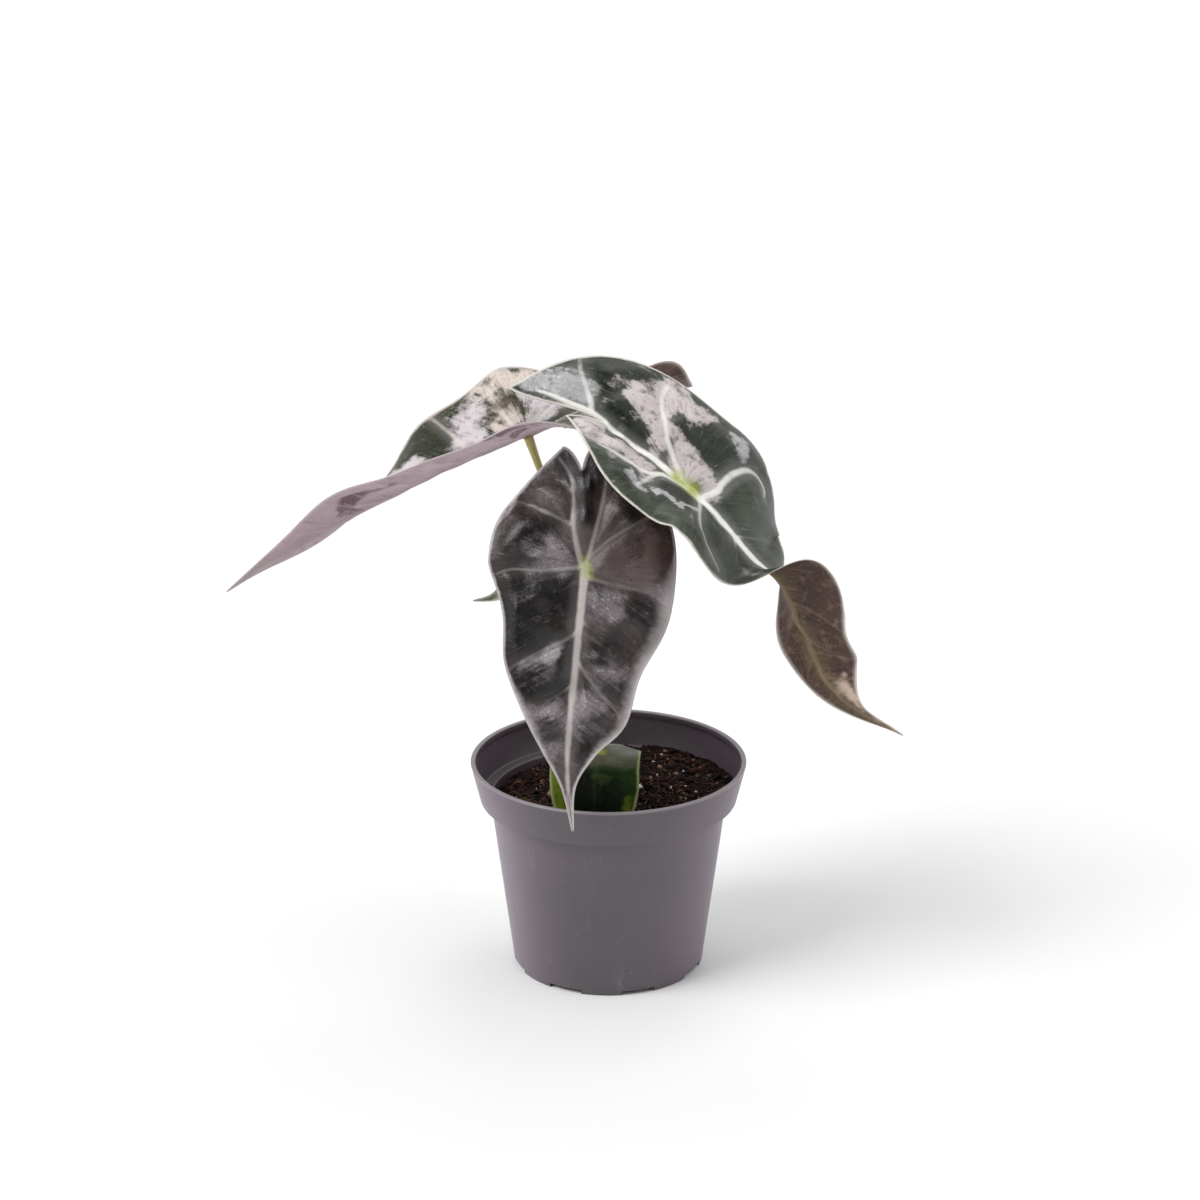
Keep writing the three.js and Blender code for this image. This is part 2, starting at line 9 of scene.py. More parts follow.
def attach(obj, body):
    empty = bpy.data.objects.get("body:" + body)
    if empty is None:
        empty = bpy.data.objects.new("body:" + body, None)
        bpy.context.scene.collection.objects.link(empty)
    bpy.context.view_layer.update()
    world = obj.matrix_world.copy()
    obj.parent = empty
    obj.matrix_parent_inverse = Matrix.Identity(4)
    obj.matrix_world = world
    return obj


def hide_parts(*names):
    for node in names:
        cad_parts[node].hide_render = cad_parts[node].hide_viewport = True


# Potted alocasia: nursery pot, soil, crown, six stalks and six arrow-shaped blades.
# Lengths in the dictionaries are millimetres, and mm turns them into the scene's metres.

mm = 0.001
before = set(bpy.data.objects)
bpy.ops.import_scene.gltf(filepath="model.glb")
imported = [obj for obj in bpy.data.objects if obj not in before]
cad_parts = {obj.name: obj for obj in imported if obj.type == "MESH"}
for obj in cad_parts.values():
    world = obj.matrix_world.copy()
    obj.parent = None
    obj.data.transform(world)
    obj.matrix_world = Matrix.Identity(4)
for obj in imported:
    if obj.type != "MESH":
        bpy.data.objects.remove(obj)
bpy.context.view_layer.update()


# Shader maths: a wrapped socket adds its Math nodes as it is used in an expression

class Wire:
    def __init__(self, look, socket):
        self.look = look
        self.socket = socket

    def maths(self, operation, *values):
        return self.look.node("ShaderNodeMath", {"operation": operation}, dict(enumerate(values)))

    def __add__(self, other):
        return self.maths("ADD", self, other)

    def __sub__(self, other):
        return self.maths("SUBTRACT", self, other)

    def __mul__(self, other):
        return self.maths("MULTIPLY", self, other)

    def __rsub__(self, other):
        return self.maths("SUBTRACT", other, self)

    __radd__ = __add__
    __rmul__ = __mul__


class Look:
    def __init__(self, name, world=None):
        self.holder = world or bpy.data.materials.new(name)
        self.holder.use_nodes = True
        self.tree = self.holder.node_tree
        self.shader = self.tree.nodes["Background" if world else "Principled BSDF"]

    def node(self, kind, settings=None, values=None, out=0):
        made = self.tree.nodes.new(kind)
        for key, setting in (settings or {}).items():
            setattr(made, key, setting)
        for key, value in (values or {}).items():
            self.feed(made.inputs[key], value)
        return Wire(self, made.outputs[out])

    def feed(self, socket, value):
        if isinstance(value, Wire):
            self.tree.links.new(value.socket, socket)
        elif socket.type == "RGBA":
            socket.default_value = (*value, 1)
        else:
            socket.default_value = value

    def attribute(self, name):
        return self.node("ShaderNodeAttribute", {"attribute_name": name}, out="Fac")

    def layout(self, name):
        return self.node("ShaderNodeUVMap", {"uv_map": name})

    def axis(self, where, name):
        return self.node("ShaderNodeSeparateXYZ", values={0: where}, out=name)

    def coordinates(self, output="Object"):
        return self.node("ShaderNodeTexCoord", out=output)

    def noise(self, where, scale, detail=3, roughness=0.5, stretch=(1, 1, 1)):
        placed = self.node("ShaderNodeMapping", values={"Vector": where, "Scale": stretch})
        return self.node("ShaderNodeTexNoise", values={
            "Vector": placed, "Scale": scale, "Detail": detail, "Roughness": roughness})

    def net(self, where, scale):
        # thin lines where cells meet
        settings = {"feature": "DISTANCE_TO_EDGE"}
        cells = self.node("ShaderNodeTexVoronoi", settings, {"Vector": where, "Scale": scale})
        return self.smooth(cells, 0.08, 0)

    def smooth(self, value, start, full):
        # 0 up to start and 1 from full on, whichever of them is the larger
        return self.node("ShaderNodeMapRange", {"interpolation_type": "SMOOTHSTEP"}, {
            "Value": value, "From Min": start, "From Max": full})

    def mix(self, factor, first, second):
        return self.node("ShaderNodeMix", {"data_type": "RGBA"}, {0: factor, 6: first, 7: second}, out=2)

    def lay(self, first, second, value, start, full, share=1):
        # the second colour over the first, from none of it at start to its whole share at full
        return self.mix(self.smooth(value, start, full) * share, first, second)

    def bump(self, height, strength, distance):
        values = {"Height": height, "Strength": strength, "Distance": distance}
        return self.node("ShaderNodeBump", values=values)

    def finish(self, **sockets):
        for name, value in sockets.items():
            self.feed(self.shader.inputs[name.replace("_", " ")], value)
        return self.holder


def shade(red, green, blue):
    # a colour as a screen shows it, from 0 to 255
    return tuple((value / 255) ** 2.2 for value in (red, green, blue))


# Mesh helpers

def meshOf(bm, name, smooth=True):
    mesh = bpy.data.meshes.new(name)
    bm.to_mesh(mesh)
    bm.free()
    if smooth:
        mesh.shade_smooth()
    return mesh


def closed(bm, name):
    bmesh.ops.holes_fill(bm, edges=bm.edges, sides=0)
    bmesh.ops.recalc_face_normals(bm, faces=bm.faces)
    return meshOf(bm, name)


def piece(mesh, materials, nodes=()):
    thing = bpy.data.objects.new(mesh.name, mesh)
    bpy.context.scene.collection.objects.link(thing)
    for material in materials:
        mesh.materials.append(material)
    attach(thing, "root")
    if nodes:
        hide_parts(*nodes)
    return thing


def pointsOf(mesh):
    found = np.empty(len(mesh.vertices) * 3)
    mesh.vertices.foreach_get("co", found)
    return found.reshape(-1, 3)


def setPoints(mesh, points):
    mesh.vertices.foreach_set("co", np.ascontiguousarray(points, dtype=np.float32).ravel())
    mesh.update()


def addValues(mesh, name, values):
    layer = mesh.attributes.new(name, "FLOAT", "POINT")
    layer.data.foreach_set("value", np.ascontiguousarray(values, dtype=np.float32))


def ease(value, low, high):
    share = np.clip((value - low) / (high - low), 0, 1)
    return share * share * (3 - 2 * share)


def tube(bm, path, radii, sides):
    # a grid rolled up round the path, its seam joined and its ends left open
    steps = len(path) - 1
    made = bmesh.ops.create_grid(bm, x_segments=sides, y_segments=steps, size=0.5)["verts"]
    tangents = np.gradient(path, axis=0)
    tangents /= np.linalg.norm(tangents, axis=1)[:, None]
    across = np.cross(tangents[0], (0.3, 0.8, 0.1))
    frames = []
    for tangent in tangents:
        across = across - tangent * np.dot(across, tangent)
        across = across / np.linalg.norm(across)
        frames.append((across, np.cross(tangent, across)))
    for corner in made:
        step = round((corner.co.y + 0.5) * steps)
        turn = -2 * math.pi * (corner.co.x + 0.5)
        first, second = frames[step]
        spread = first * math.cos(turn) + second * math.sin(turn)
        corner.co = Vector(path[step] + spread * radii[step])
    ends = [c for c in made if c.is_boundary]
    bmesh.ops.remove_doubles(bm, verts=ends, dist=1e-7)


def hermite(t, first, second, startSlope, endSlope):
    startPart = first * (2 * t**3 - 3 * t**2 + 1) + startSlope * (t**3 - 2 * t**2 + t)
    return startPart + second * (3 * t**2 - 2 * t**3) + endSlope * (t**3 - t**2)


def blend(values, place):
    # Catmull-Rom curve through one value, or one point, for each rib
    values = np.asarray(values, float)
    last = len(values) - 1
    place = np.asarray(place, float)
    start = np.clip(np.floor(place).astype(int), 0, last - 1)
    t = place - start
    before = np.maximum(np.arange(last + 1) - 1, 0)
    after = np.minimum(np.arange(last + 1) + 1, last)
    gap = after - before
    if values.ndim == 2:
        gap = gap[:, None]
        t = t[..., None]
    slope = (values[after] - values[before]) / gap
    return hermite(t, values[start], values[start + 1], slope[start], slope[start + 1])


# Camera, light and floor

studio = {
    "elevation": 19.5,
    "distance": 1340,
    "target": (-3.7, 0, 166.8),
    "lens": 94.14,
    "sensor": 36,
    "floorSize": 40,
    "floorColor": (0.875, 0.875, 0.875),
    # the way each soft light comes from, how wide it is in degrees, and its strength
    "lights": [((-0.95, -0.5, 1.05), 34, 2), ((0.9, -0.5, 1), 60, 0.5)],
    "lampFrom": (0.15, 0.5, 1.2),
    "lampSize": 0.5,
    "lampWatts": 2,
    "worldFront": 0.1,
    "worldBack": 0.72,
    "worldSides": 0.75,
}


def makeStudio():
    scene = bpy.context.scene
    scene.view_settings.view_transform = "Standard"
    camera = bpy.data.cameras.new("camera")
    camera.lens = studio["lens"]
    camera.sensor_width = studio["sensor"]
    camera.clip_start = 0.01
    eye = bpy.data.objects.new("camera", camera)
    tilt = math.radians(studio["elevation"])
    away = Vector((0, -math.cos(tilt), math.sin(tilt))) * studio["distance"]
    eye.location = (Vector(studio["target"]) + away) * mm
    eye.rotation_euler = (math.pi / 2 - tilt, 0, 0)
    scene.collection.objects.link(eye)
    scene.camera = eye
    for place, spread, strength in studio["lights"]:
        makeLight("softbox", "SUN", place, strength).angle = math.radians(spread)
    lamp = makeLight("top", "AREA", studio["lampFrom"], studio["lampWatts"])
    lamp.size = studio["lampSize"]
    makeWorld(scene)
    makeFloor()


def makeLight(name, kind, place, strength):
    light = bpy.data.lights.new(name, kind)
    light.energy = strength
    stand = bpy.data.objects.new(name, light)
    stand.location = place
    stand.rotation_euler = (-Vector(place)).to_track_quat("-Z", "Y").to_euler()
    bpy.context.scene.collection.objects.link(stand)
    return light


def makeWorld(scene):
    # bright behind and at the sides, dim on the camera's side, so that dark glossy leaves stay dark
    scene.world = bpy.data.worlds.new("studio")
    look = Look("studio", scene.world)
    direction = look.coordinates("Generated")
    across = look.axis(direction, "X")
    behind = look.smooth(look.axis(direction, "Y"), -1, 1) * (studio["worldBack"] - studio["worldFront"])
    sides = across * across * studio["worldSides"]
    look.finish(Color=(1, 1, 1), Strength=behind + sides + studio["worldFront"])


def makeFloor():
    bm = bmesh.new()
    bmesh.ops.create_grid(bm, x_segments=1, y_segments=1, size=studio["floorSize"] / 2)
    mesh = meshOf(bm, "floor", smooth=False)
    look = Look("floor")
    mesh.materials.append(look.finish(Base_Color=studio["floorColor"], Roughness=0.9))
    floor = bpy.data.objects.new("floor", mesh)
    bpy.context.scene.collection.objects.link(floor)


makeStudio()
print("studio made")


# Nursery pot

pot = {
    "height": 93.5,
    "rimRadius": 60,
    "footRadius": 41.6,
    "bodyTopRadius": 51.5,
    "collarBottomRadius": 55.9,
    "collarDepth": 17,
    "lipWidth": 2.2,
    "lipDepth": 3,
    "wall": 1.4,
    "floor": 1.6,
    "steps": 256,
    "slots": 8,
    "slotFirst": -27,
    "slotHeight": 2,
    "slotWidth": 15.2,
    "slotLength": 12,
    "slotReach": 41,
    "rounding": 0.45,
    "roundingSteps": 3,
    "smoothBelow": 35,
    "color": shade(77, 72, 77),
    "lilac": shade(84, 76, 83),
    # the next three: scuff colour, also laid on the lip as a painted highlight; painted side light on the
    # flanks; painted shade inside
    "wornAndRimHighlight": shade(148, 140, 146),
    "flankSheen": shade(108, 93, 107),
    "inside": shade(34, 30, 31),
    "speck": shade(165, 158, 160),
}
bodyTop = pot["height"] - pot["collarDepth"]
ledgeTop = bodyTop + pot["wall"]


def bodyInside(height):
    slope = (pot["bodyTopRadius"] - pot["footRadius"]) / bodyTop
    return pot["footRadius"] + slope * height - pot["wall"]


def collarInside(height):
    slope = (pot["rimRadius"] - pot["collarBottomRadius"]) / pot["collarDepth"]
    return pot["collarBottomRadius"] + slope * (height - bodyTop) - pot["wall"]


def potProfile():
    lipBottom = pot["height"] - pot["lipDepth"]
    lipInside = pot["rimRadius"] - pot["lipWidth"]
    return [
        (0, 0),
        (pot["footRadius"], 0),
        (pot["bodyTopRadius"], bodyTop),
        (pot["collarBottomRadius"], bodyTop),
        (pot["rimRadius"], pot["height"]),
        (lipInside, pot["height"]),
        (lipInside, lipBottom),
        (collarInside(lipBottom), lipBottom),
        (collarInside(ledgeTop), ledgeTop),
        (bodyInside(ledgeTop), ledgeTop),
        (bodyInside(pot["floor"]), pot["floor"]),
        (0, pot["floor"]),
    ]


def makePot():
    bm = bmesh.new()
    line = [bm.verts.new((radius * mm, 0, height * mm)) for radius, height in potProfile()]
    edges = [bm.edges.new(pair) for pair in zip(line, line[1:])]
    bmesh.ops.spin(bm, geom=line + edges, axis=(0, 0, 1), angle=2 * math.pi,
                   steps=pot["steps"], use_merge=True)
    bmesh.ops.remove_doubles(bm, verts=bm.verts, dist=1e-6)
    bmesh.ops.recalc_face_normals(bm, faces=bm.faces)
    rings = [e for e in bm.edges if abs(e.verts[0].co.z - e.verts[1].co.z) < 1e-6
             and abs(e.verts[0].co.xy.length - e.verts[1].co.xy.length) < 1e-6
             and e.calc_face_angle(0) > 0.2]
    bmesh.ops.bevel(bm, geom=rings, offset=pot["rounding"] * mm, segments=pot["roundingSteps"],
                    profile=0.5, affect="EDGES", material=-1)
    mesh = meshOf(bm, "pot_wall")
    thing = piece(mesh, [potLook()], ["pot"])
    cutSlots(thing)
    mesh.shade_smooth()
    mesh.set_sharp_from_angle(angle=math.radians(pot["smoothBelow"]))


def cutSlots(thing):
    bm = bmesh.new()
    for slot in range(pot["slots"]):
        turn = math.radians(pot["slotFirst"] - 90 + slot * 360 / pot["slots"])
        block = bmesh.ops.create_cube(bm, size=1)["verts"]
        size = (pot["slotLength"] * mm, pot["slotWidth"] * mm, 2 * pot["slotHeight"] * mm)
        bmesh.ops.scale(bm, verts=block, vec=size)
        bmesh.ops.translate(bm, verts=block, vec=(pot["slotReach"] * mm, 0, 0))
        bmesh.ops.rotate(bm, verts=block, matrix=Matrix.Rotation(turn, 3, "Z"))
    cutter = bpy.data.objects.new("slots", meshOf(bm, "slots", smooth=False))
    bpy.context.scene.collection.objects.link(cutter)
    cut = thing.modifiers.new("slots", "BOOLEAN")
    cut.operation = "DIFFERENCE"
    cut.solver = "EXACT"
    cut.object = cutter
    bpy.context.view_layer.objects.active = thing
    bpy.ops.object.modifier_apply(modifier=cut.name)
    bpy.data.objects.remove(cutter)


def potLook():
    look = Look("pot_plastic")
    where = look.coordinates()
    facing = look.node("ShaderNodeNewGeometry", out="Normal")
    dot = {"operation": "DOT_PRODUCT"}
    outward = look.node("ShaderNodeVectorMath", dot, {0: facing, 1: where}, out="Value")
    across = look.axis(facing, "X")
    height = look.axis(where, "Z")
    rim = pot["height"]
    clouds = look.noise(where, 28, detail=4)
    grain = look.noise(where, 2600, detail=2)
    scuffs = look.noise(where, 90, detail=6, roughness=0.7, stretch=(1, 1, 0.25))
    specks = look.noise(where, 1300, detail=0)
    shadeDepth = look.smooth(height, (rim - 2) * mm, (bodyTop - 4) * mm)
    color = look.lay(pot["color"], pot["lilac"], clouds, 0.35, 0.65)
    color = look.lay(color, pot["wornAndRimHighlight"], scuffs, 0.6, 0.75, 0.25)
    # lighter lilac on the flanks that face left and right: painted side light and sheen
    color = look.lay(color, pot["flankSheen"], across * across, 0.1, 0.8, 0.8)
    # darker on the faces that look inward, more so lower down: painted shade inside the pot
    color = look.lay(color, pot["inside"], outward, 0, -0.03, shadeDepth * 0.5 + 0.12)
    # a paler band round the top of the lip: painted highlight
    color = look.lay(color, pot["wornAndRimHighlight"], height, (rim - 1.2) * mm, (rim - 0.2) * mm, 0.6)
    color = look.lay(color, pot["speck"], specks, 0.8, 0.84, 0.3)
    rough = clouds * 0.14 + grain * 0.1 + 0.24
    return look.finish(Base_Color=color, Roughness=rough, Specular_IOR_Level=0.7,
                       Normal=look.bump(grain + scuffs * 0.6, 0.25, 0.00012))


makePot()
print("pot made")


# Soil

soil = {
    "level": 77.2,
    "rise": 2.8,
    "riseLength": 30,
    "lump": 0.7,
    "crumb": 0.45,
    # the fine roughness: waves to a millimetre, and how high
    "rough": [(0.35, 0.9), (0.9, 0.55), (2.1, 0.35)],
    "sink": 0.2,
    "gap": 0.3,
    # how far out the level is read that says where the soil's edge lies
    "levelAt": 50,
    "ledgeEase": (0.4, 0.3),
    "widest": 56,
    "skirt": 6,
    "leastDrop": 0.05,
    "rings": 120,
    "sides": 330,
    # name, count, smallest, largest, subdivisions
    "crumbs": [("soil_crumbs", 5600, 0.5, 1.6, 1), ("soil_lumps", 520, 1.6, 3.4, 2)],
    "stretch": ((0.7, 0.7, 0.55), (1.3, 1.3, 0.95)),
    "waves": 3.2,
    "swell": 0.13,
    "tilt": 0.6,
    "fibres": 420,
    "fibreSeed": 11,
    "fibreSides": 4,
    "fibreBend": 0.6,
    "fibreTaper": (0.5, 1, 0.9, 0.3),
    "fibreRise": (0.35, 0.85),
    "fibreLength": (2, 8),
    "fibreThickness": (0.09, 0.3),
    "perlite": 40,
    "perliteSeed": 5,
    "perliteSize": (0.5, 1.3),
    # the grains that show in front: x, y, across
    "placedPerlite": [(13.5, 3, 2.7), (27.5, 2, 2.1), (11.5, -17, 1.6), (33, 20, 1.5), (38, -4, 1.4)],
    "dark": shade(16, 8, 6),
    "brown": shade(42, 25, 21),
    "red": shade(64, 38, 31),
    "pale": shade(166, 132, 118),
    "fibreColors": ((0.035, 0.014, 0.008), (0.2, 0.11, 0.055)),
    "perliteColors": ((0.85, 0.83, 0.79), (0.5, 0.42, 0.34)),
}


def soilHeight(x, y):
    # the solid's surface in millimetres, before the fine crumbs
    slope = soil["rise"] * math.tanh(x / soil["riseLength"])
    lumps = math.sin(0.42 * x + 1.7 * math.sin(0.23 * y)) * math.cos(0.37 * y + 0.9 * math.sin(0.31 * x))
    crumbs = math.sin(0.83 * x + 0.6) * math.sin(0.79 * y - 1.1)
    return soil["level"] + slope + soil["lump"] * lumps + soil["crumb"] * crumbs


def soilFine(x, y):
    spot = Vector((x, y, 0))
    rough = sum(noise.noise(spot * waves) * height for waves, height in soil["rough"])
    return soilHeight(x, y) + rough - soil["sink"]


def soilReach(x, y):
    # how far out the soil lies in the direction of x, y
    turn = math.atan2(y, x)
    level = soilHeight(soil["levelAt"] * math.cos(turn), soil["levelAt"] * math.sin(turn))
    below, above = soil["ledgeEase"]
    onLedge = ease(level, ledgeTop - below, ledgeTop + above)
    inner = bodyInside(min(level, ledgeTop)) - soil["gap"]
    outer = collarInside(level) - soil["gap"]
    return inner + (outer - inner) * onLedge


def makeSoil():
    bm = bmesh.new()
    made = bmesh.ops.create_grid(bm, x_segments=soil["sides"], y_segments=soil["rings"], size=0.5)["verts"]
    for corner in made:
        turn = -2 * math.pi * (corner.co.x + 0.5)
        share = corner.co.y + 0.5
        reach = soilReach(math.cos(turn), math.sin(turn))
        x = share * reach * math.cos(turn)
        y = share * reach * math.sin(turn)
        corner.co = (x * mm, y * mm, soilFine(x, y) * mm)
    bmesh.ops.remove_doubles(bm, verts=bm.verts, dist=1e-6)
    rim = [e for e in bm.edges if e.is_boundary]
    # down to the ledge, in over its inner edge, down the wall, and to the bottom
    edge = bodyInside(ledgeTop) - soil["gap"]
    bottom = pot["slotHeight"] + 2 * soil["gap"]
    skirt = ledgeTop - soil["skirt"]
    steps = [(ledgeTop + soil["gap"], math.inf), (ledgeTop + soil["gap"], edge),
             (skirt, bodyInside(skirt) - soil["gap"]), (bottom, bodyInside(bottom) - soil["gap"])]
    for height, reach in steps:
        down = bmesh.ops.extrude_edge_only(bm, edges=rim)["geom"]
        rim = [e for e in down if isinstance(e, bmesh.types.BMEdge)]
        for corner in {c for e in rim for c in e.verts}:
            x, y, z = corner.co / mm
            share = min(reach / math.hypot(x, y), 1)
            corner.co = (x * share * mm, y * share * mm, min(height, z - soil["leastDrop"]) * mm)
    bmesh.ops.holes_fill(bm, edges=rim, sides=0)
    bmesh.ops.recalc_face_normals(bm, faces=bm.faces)
    piece(meshOf(bm, "soil_bed"), [soilLook("soil_bed")], ["soil"])


def spotOnSoil(rng, edge):
    # a random place on the soil, clear of the wall by edge
    widest = soil["widest"]
    while True:
        x, y = rng.uniform(-widest, widest), rng.uniform(-widest, widest)
        if math.hypot(x, y) < soilReach(x, y) - edge:
            return x, y


def lumps(spots, sizes, sinks, detail, name, rng):
    # a lumpy grain at each spot, all in one mesh
    bm = bmesh.new()
    bmesh.ops.create_icosphere(bm, subdivisions=detail, radius=0.5)
    ball = meshOf(bm, "ball")
    shape = pointsOf(ball)
    bm = bmesh.new()
    for _ in spots:
        bm.from_mesh(ball)
    bpy.data.meshes.remove(ball)
    stretch = rng.uniform(*soil["stretch"], (len(spots), 3))
    waves = rng.normal(0, soil["waves"], (len(spots), 3, 3))
    phases = rng.uniform(0, 2 * math.pi, (len(spots), 1, 3))
    swell = 1 + soil["swell"] * np.sin(shape @ waves + phases).sum(axis=2)
    grains = shape * swell[..., None] * (stretch * sizes[:, None])[:, None]
    grains = turned(grains, rng.uniform(-soil["tilt"], soil["tilt"], len(spots)), 1, 2)
    grains = turned(grains, rng.uniform(0, 2 * math.pi, len(spots)), 0, 1)
    centres = np.array([(x, y, soilFine(x, y)) for x, y in spots])
    centres[:, 2] += sizes * sinks
    mesh = meshOf(bm, name)
    setPoints(mesh, (grains + centres[:, None]).reshape(-1, 3) * mm)
    return mesh, len(shape)


def turned(points, angles, first, second):
    cosine, sine = np.cos(angles)[:, None], np.sin(angles)[:, None]
    result = points.copy()
    result[..., first] = points[..., first] * cosine - points[..., second] * sine
    result[..., second] = points[..., first] * sine + points[..., second] * cosine
    return result


def makeCrumbs():
    for name, count, smallest, largest, detail in soil["crumbs"]:
        rng = np.random.default_rng(count)
        sizes = rng.uniform(smallest, largest, count)
        spots = [spotOnSoil(rng, size) for size in sizes]
        mesh, corners = lumps(spots, sizes, rng.uniform(-0.1, 0.3, count), detail, name, rng)
        addValues(mesh, "tone", np.repeat(rng.random(count), corners))
        piece(mesh, [soilLook(name, loose=True)])


def makeFibres():
    rng = random.Random(soil["fibreSeed"])
    taper = np.array(soil["fibreTaper"])
    low, high = soil["fibreRise"]
    bm = bmesh.new()
    for _ in range(soil["fibres"]):
        x, y = spotOnSoil(rng, 5)
        length = rng.uniform(*soil["fibreLength"])
        turn = rng.uniform(0, 2 * math.pi)
        bend = rng.uniform(-soil["fibreBend"], soil["fibreBend"])
        thick = rng.uniform(*soil["fibreThickness"])
        path = []
        for share in (-0.5, -0.17, 0.17, 0.5):
            here = turn + bend * share
            px = x + length * share * math.cos(here)
            py = y + length * share * math.sin(here)
            path.append((px, py, soilFine(px, py) + rng.uniform(low, high)))
        tube(bm, np.array(path) * mm, taper * thick * mm, soil["fibreSides"])
    bmesh.ops.holes_fill(bm, edges=bm.edges, sides=soil["fibreSides"])
    piece(meshOf(bm, "soil_fibres"), [fibreLook()])


def makePerlite():
    rng = np.random.default_rng(soil["perliteSeed"])
    strewn = [(*spotOnSoil(rng, 3), rng.uniform(*soil["perliteSize"])) for _ in range(soil["perlite"])]
    grains = np.array(soil["placedPerlite"] + strewn)
    mesh, _ = lumps(grains[:, :2], grains[:, 2], 0.3, 2, "soil_perlite", rng)
    piece(mesh, [perliteLook()])


def soilLook(name, loose=False):
    look = Look(name)
    where = look.coordinates()
    clumps = look.noise(where, 180, detail=5, roughness=0.65)
    grain = look.noise(where, 900, detail=5, roughness=0.7)
    color = look.lay(soil["dark"], soil["brown"], clumps, 0.35, 0.7)
    if loose:
        tone = look.attribute("tone")
        color = look.lay(color, soil["red"], tone, 0.45, 0.95)
        color = look.lay(color, soil["pale"], tone, 0.93, 0.97, 0.55)
    color = look.lay(color, soil["red"], grain, 0.62, 0.74, 0.4)
    return look.finish(Base_Color=color, Roughness=0.95 - clumps * 0.25, Specular_IOR_Level=0.2,
                       Normal=look.bump(grain, 0.7, 0.0006))


def fibreLook():
    look = Look("soil_fibre")
    where = look.coordinates()
    tone = look.noise(where, 160, detail=2)
    streaks = look.noise(where, 2400, detail=2)
    color = look.lay(*soil["fibreColors"], tone, 0.35, 0.65)
    return look.finish(Base_Color=color, Roughness=0.8, Normal=look.bump(streaks, 0.4, 0.0002))


def perliteLook():
    look = Look("soil_perlite")
    where = look.coordinates()
    pores = look.node("ShaderNodeTexVoronoi", values={"Vector": where, "Scale": 2600})
    stain = look.noise(where, 500, detail=3)
    color = look.lay(*soil["perliteColors"], stain, 0.45, 0.75)
    return look.finish(Base_Color=color, Roughness=0.9, Normal=look.bump(pores, 0.5, 0.0003))


makeSoil()
makeCrumbs()
makeFibres()
makePerlite()
print("soil made")


# Blades. A blade is cut flat, its veins are drawn on it, and then it is bent into place.
# Each half has its own values: the left one first. A rib is a midrib point, the way the upper
# face looks, then degrees of lift and of curl, and the width, for each half.

left, right = 0, 1
bladeForm = {
    "sinusWedge": 0.35,
    "lobeFullness": 2.6,
    "lobePoint": 1.1,
    "samples": 60,
    "step": 0.8,
    "thickness": 2,
    "sheet": 0.55,
    "ribDepth": 1.1,
    "ribRise": 0.5,
    "ribLimit": 1.5,
    "paleFrom": (0.6, 4.2),
    "fading": 0.35,
    "veinReach": 1.2,
    # how the patches' outlines wander: waves to a millimetre, and millimetres
    "swirls": [(0.07, 4), (0.19, 2.2), (0.5, 0.9)],
    "swirlSeed": 125,
    "falloff": 0.9,
    "groundShare": 0.22,
    # a side vein's slant forward, the radius at which its rays are as wide as they are drawn
    "veinSlant": 0.6,
    "rayRadius": 26,
    "halvesApart": 3.7,
    "spineHalf": 0.045,
    "rounding": 16,
    "bandSoftness": 0.7,
    "bandLeast": 0.5,
    "bandShare": 0.12,
    "tipSheet": 0.5,
    "narrow": (3, 10),
    "outlineSteps": 260,
    "lobeRows": 4,
    "weld": 0.02,
    # millimetres to a unit of the two layouts
    "layoutSize": 100,
    "puffReach": 5,
    "dents": 0.8,
    "dentWaves": 0.09,
    "sunkShare": 0.3,
    "sunkMost": 0.9,
    "edgeSheet": 0.55,
    "foldCalm": 0.75,
    "foldEase": 6,
    "thicknessSteps": 100,
    # millimetres from the margin over which each comes in: the swelling, all relief, the thickness
    "swellingIn": (0, 8),
    "reliefIn": (-1, 3),
    "thicknessIn": (0, 4),
    "upperHeart": shade(158, 172, 52),
    "underHeart": shade(150, 150, 80),
}
# patch kinds: painted shade, painted warm sheen, painted silver sheen and highlights (partly the blade's own
# silvery tone), then the blade's own bruises and cream
patchKinds = ("dark", "warmSheen", "silverSheen", "bruise", "cream")


plainLeaf = {
    "junction": 1,
    "lobeTip": (0.42, 0.42),
    "lobeShare": (1, 1),
    "sinus": 0.35,
    "fold": (0, 0),
    "stain": 0.3,
    "glints": 0.2,
    "gloss": 0.3,
}


def bothHalves(*veins):
    # the same veins on either half
    return [(half, *vein) for half in (left, right) for vein in veins]
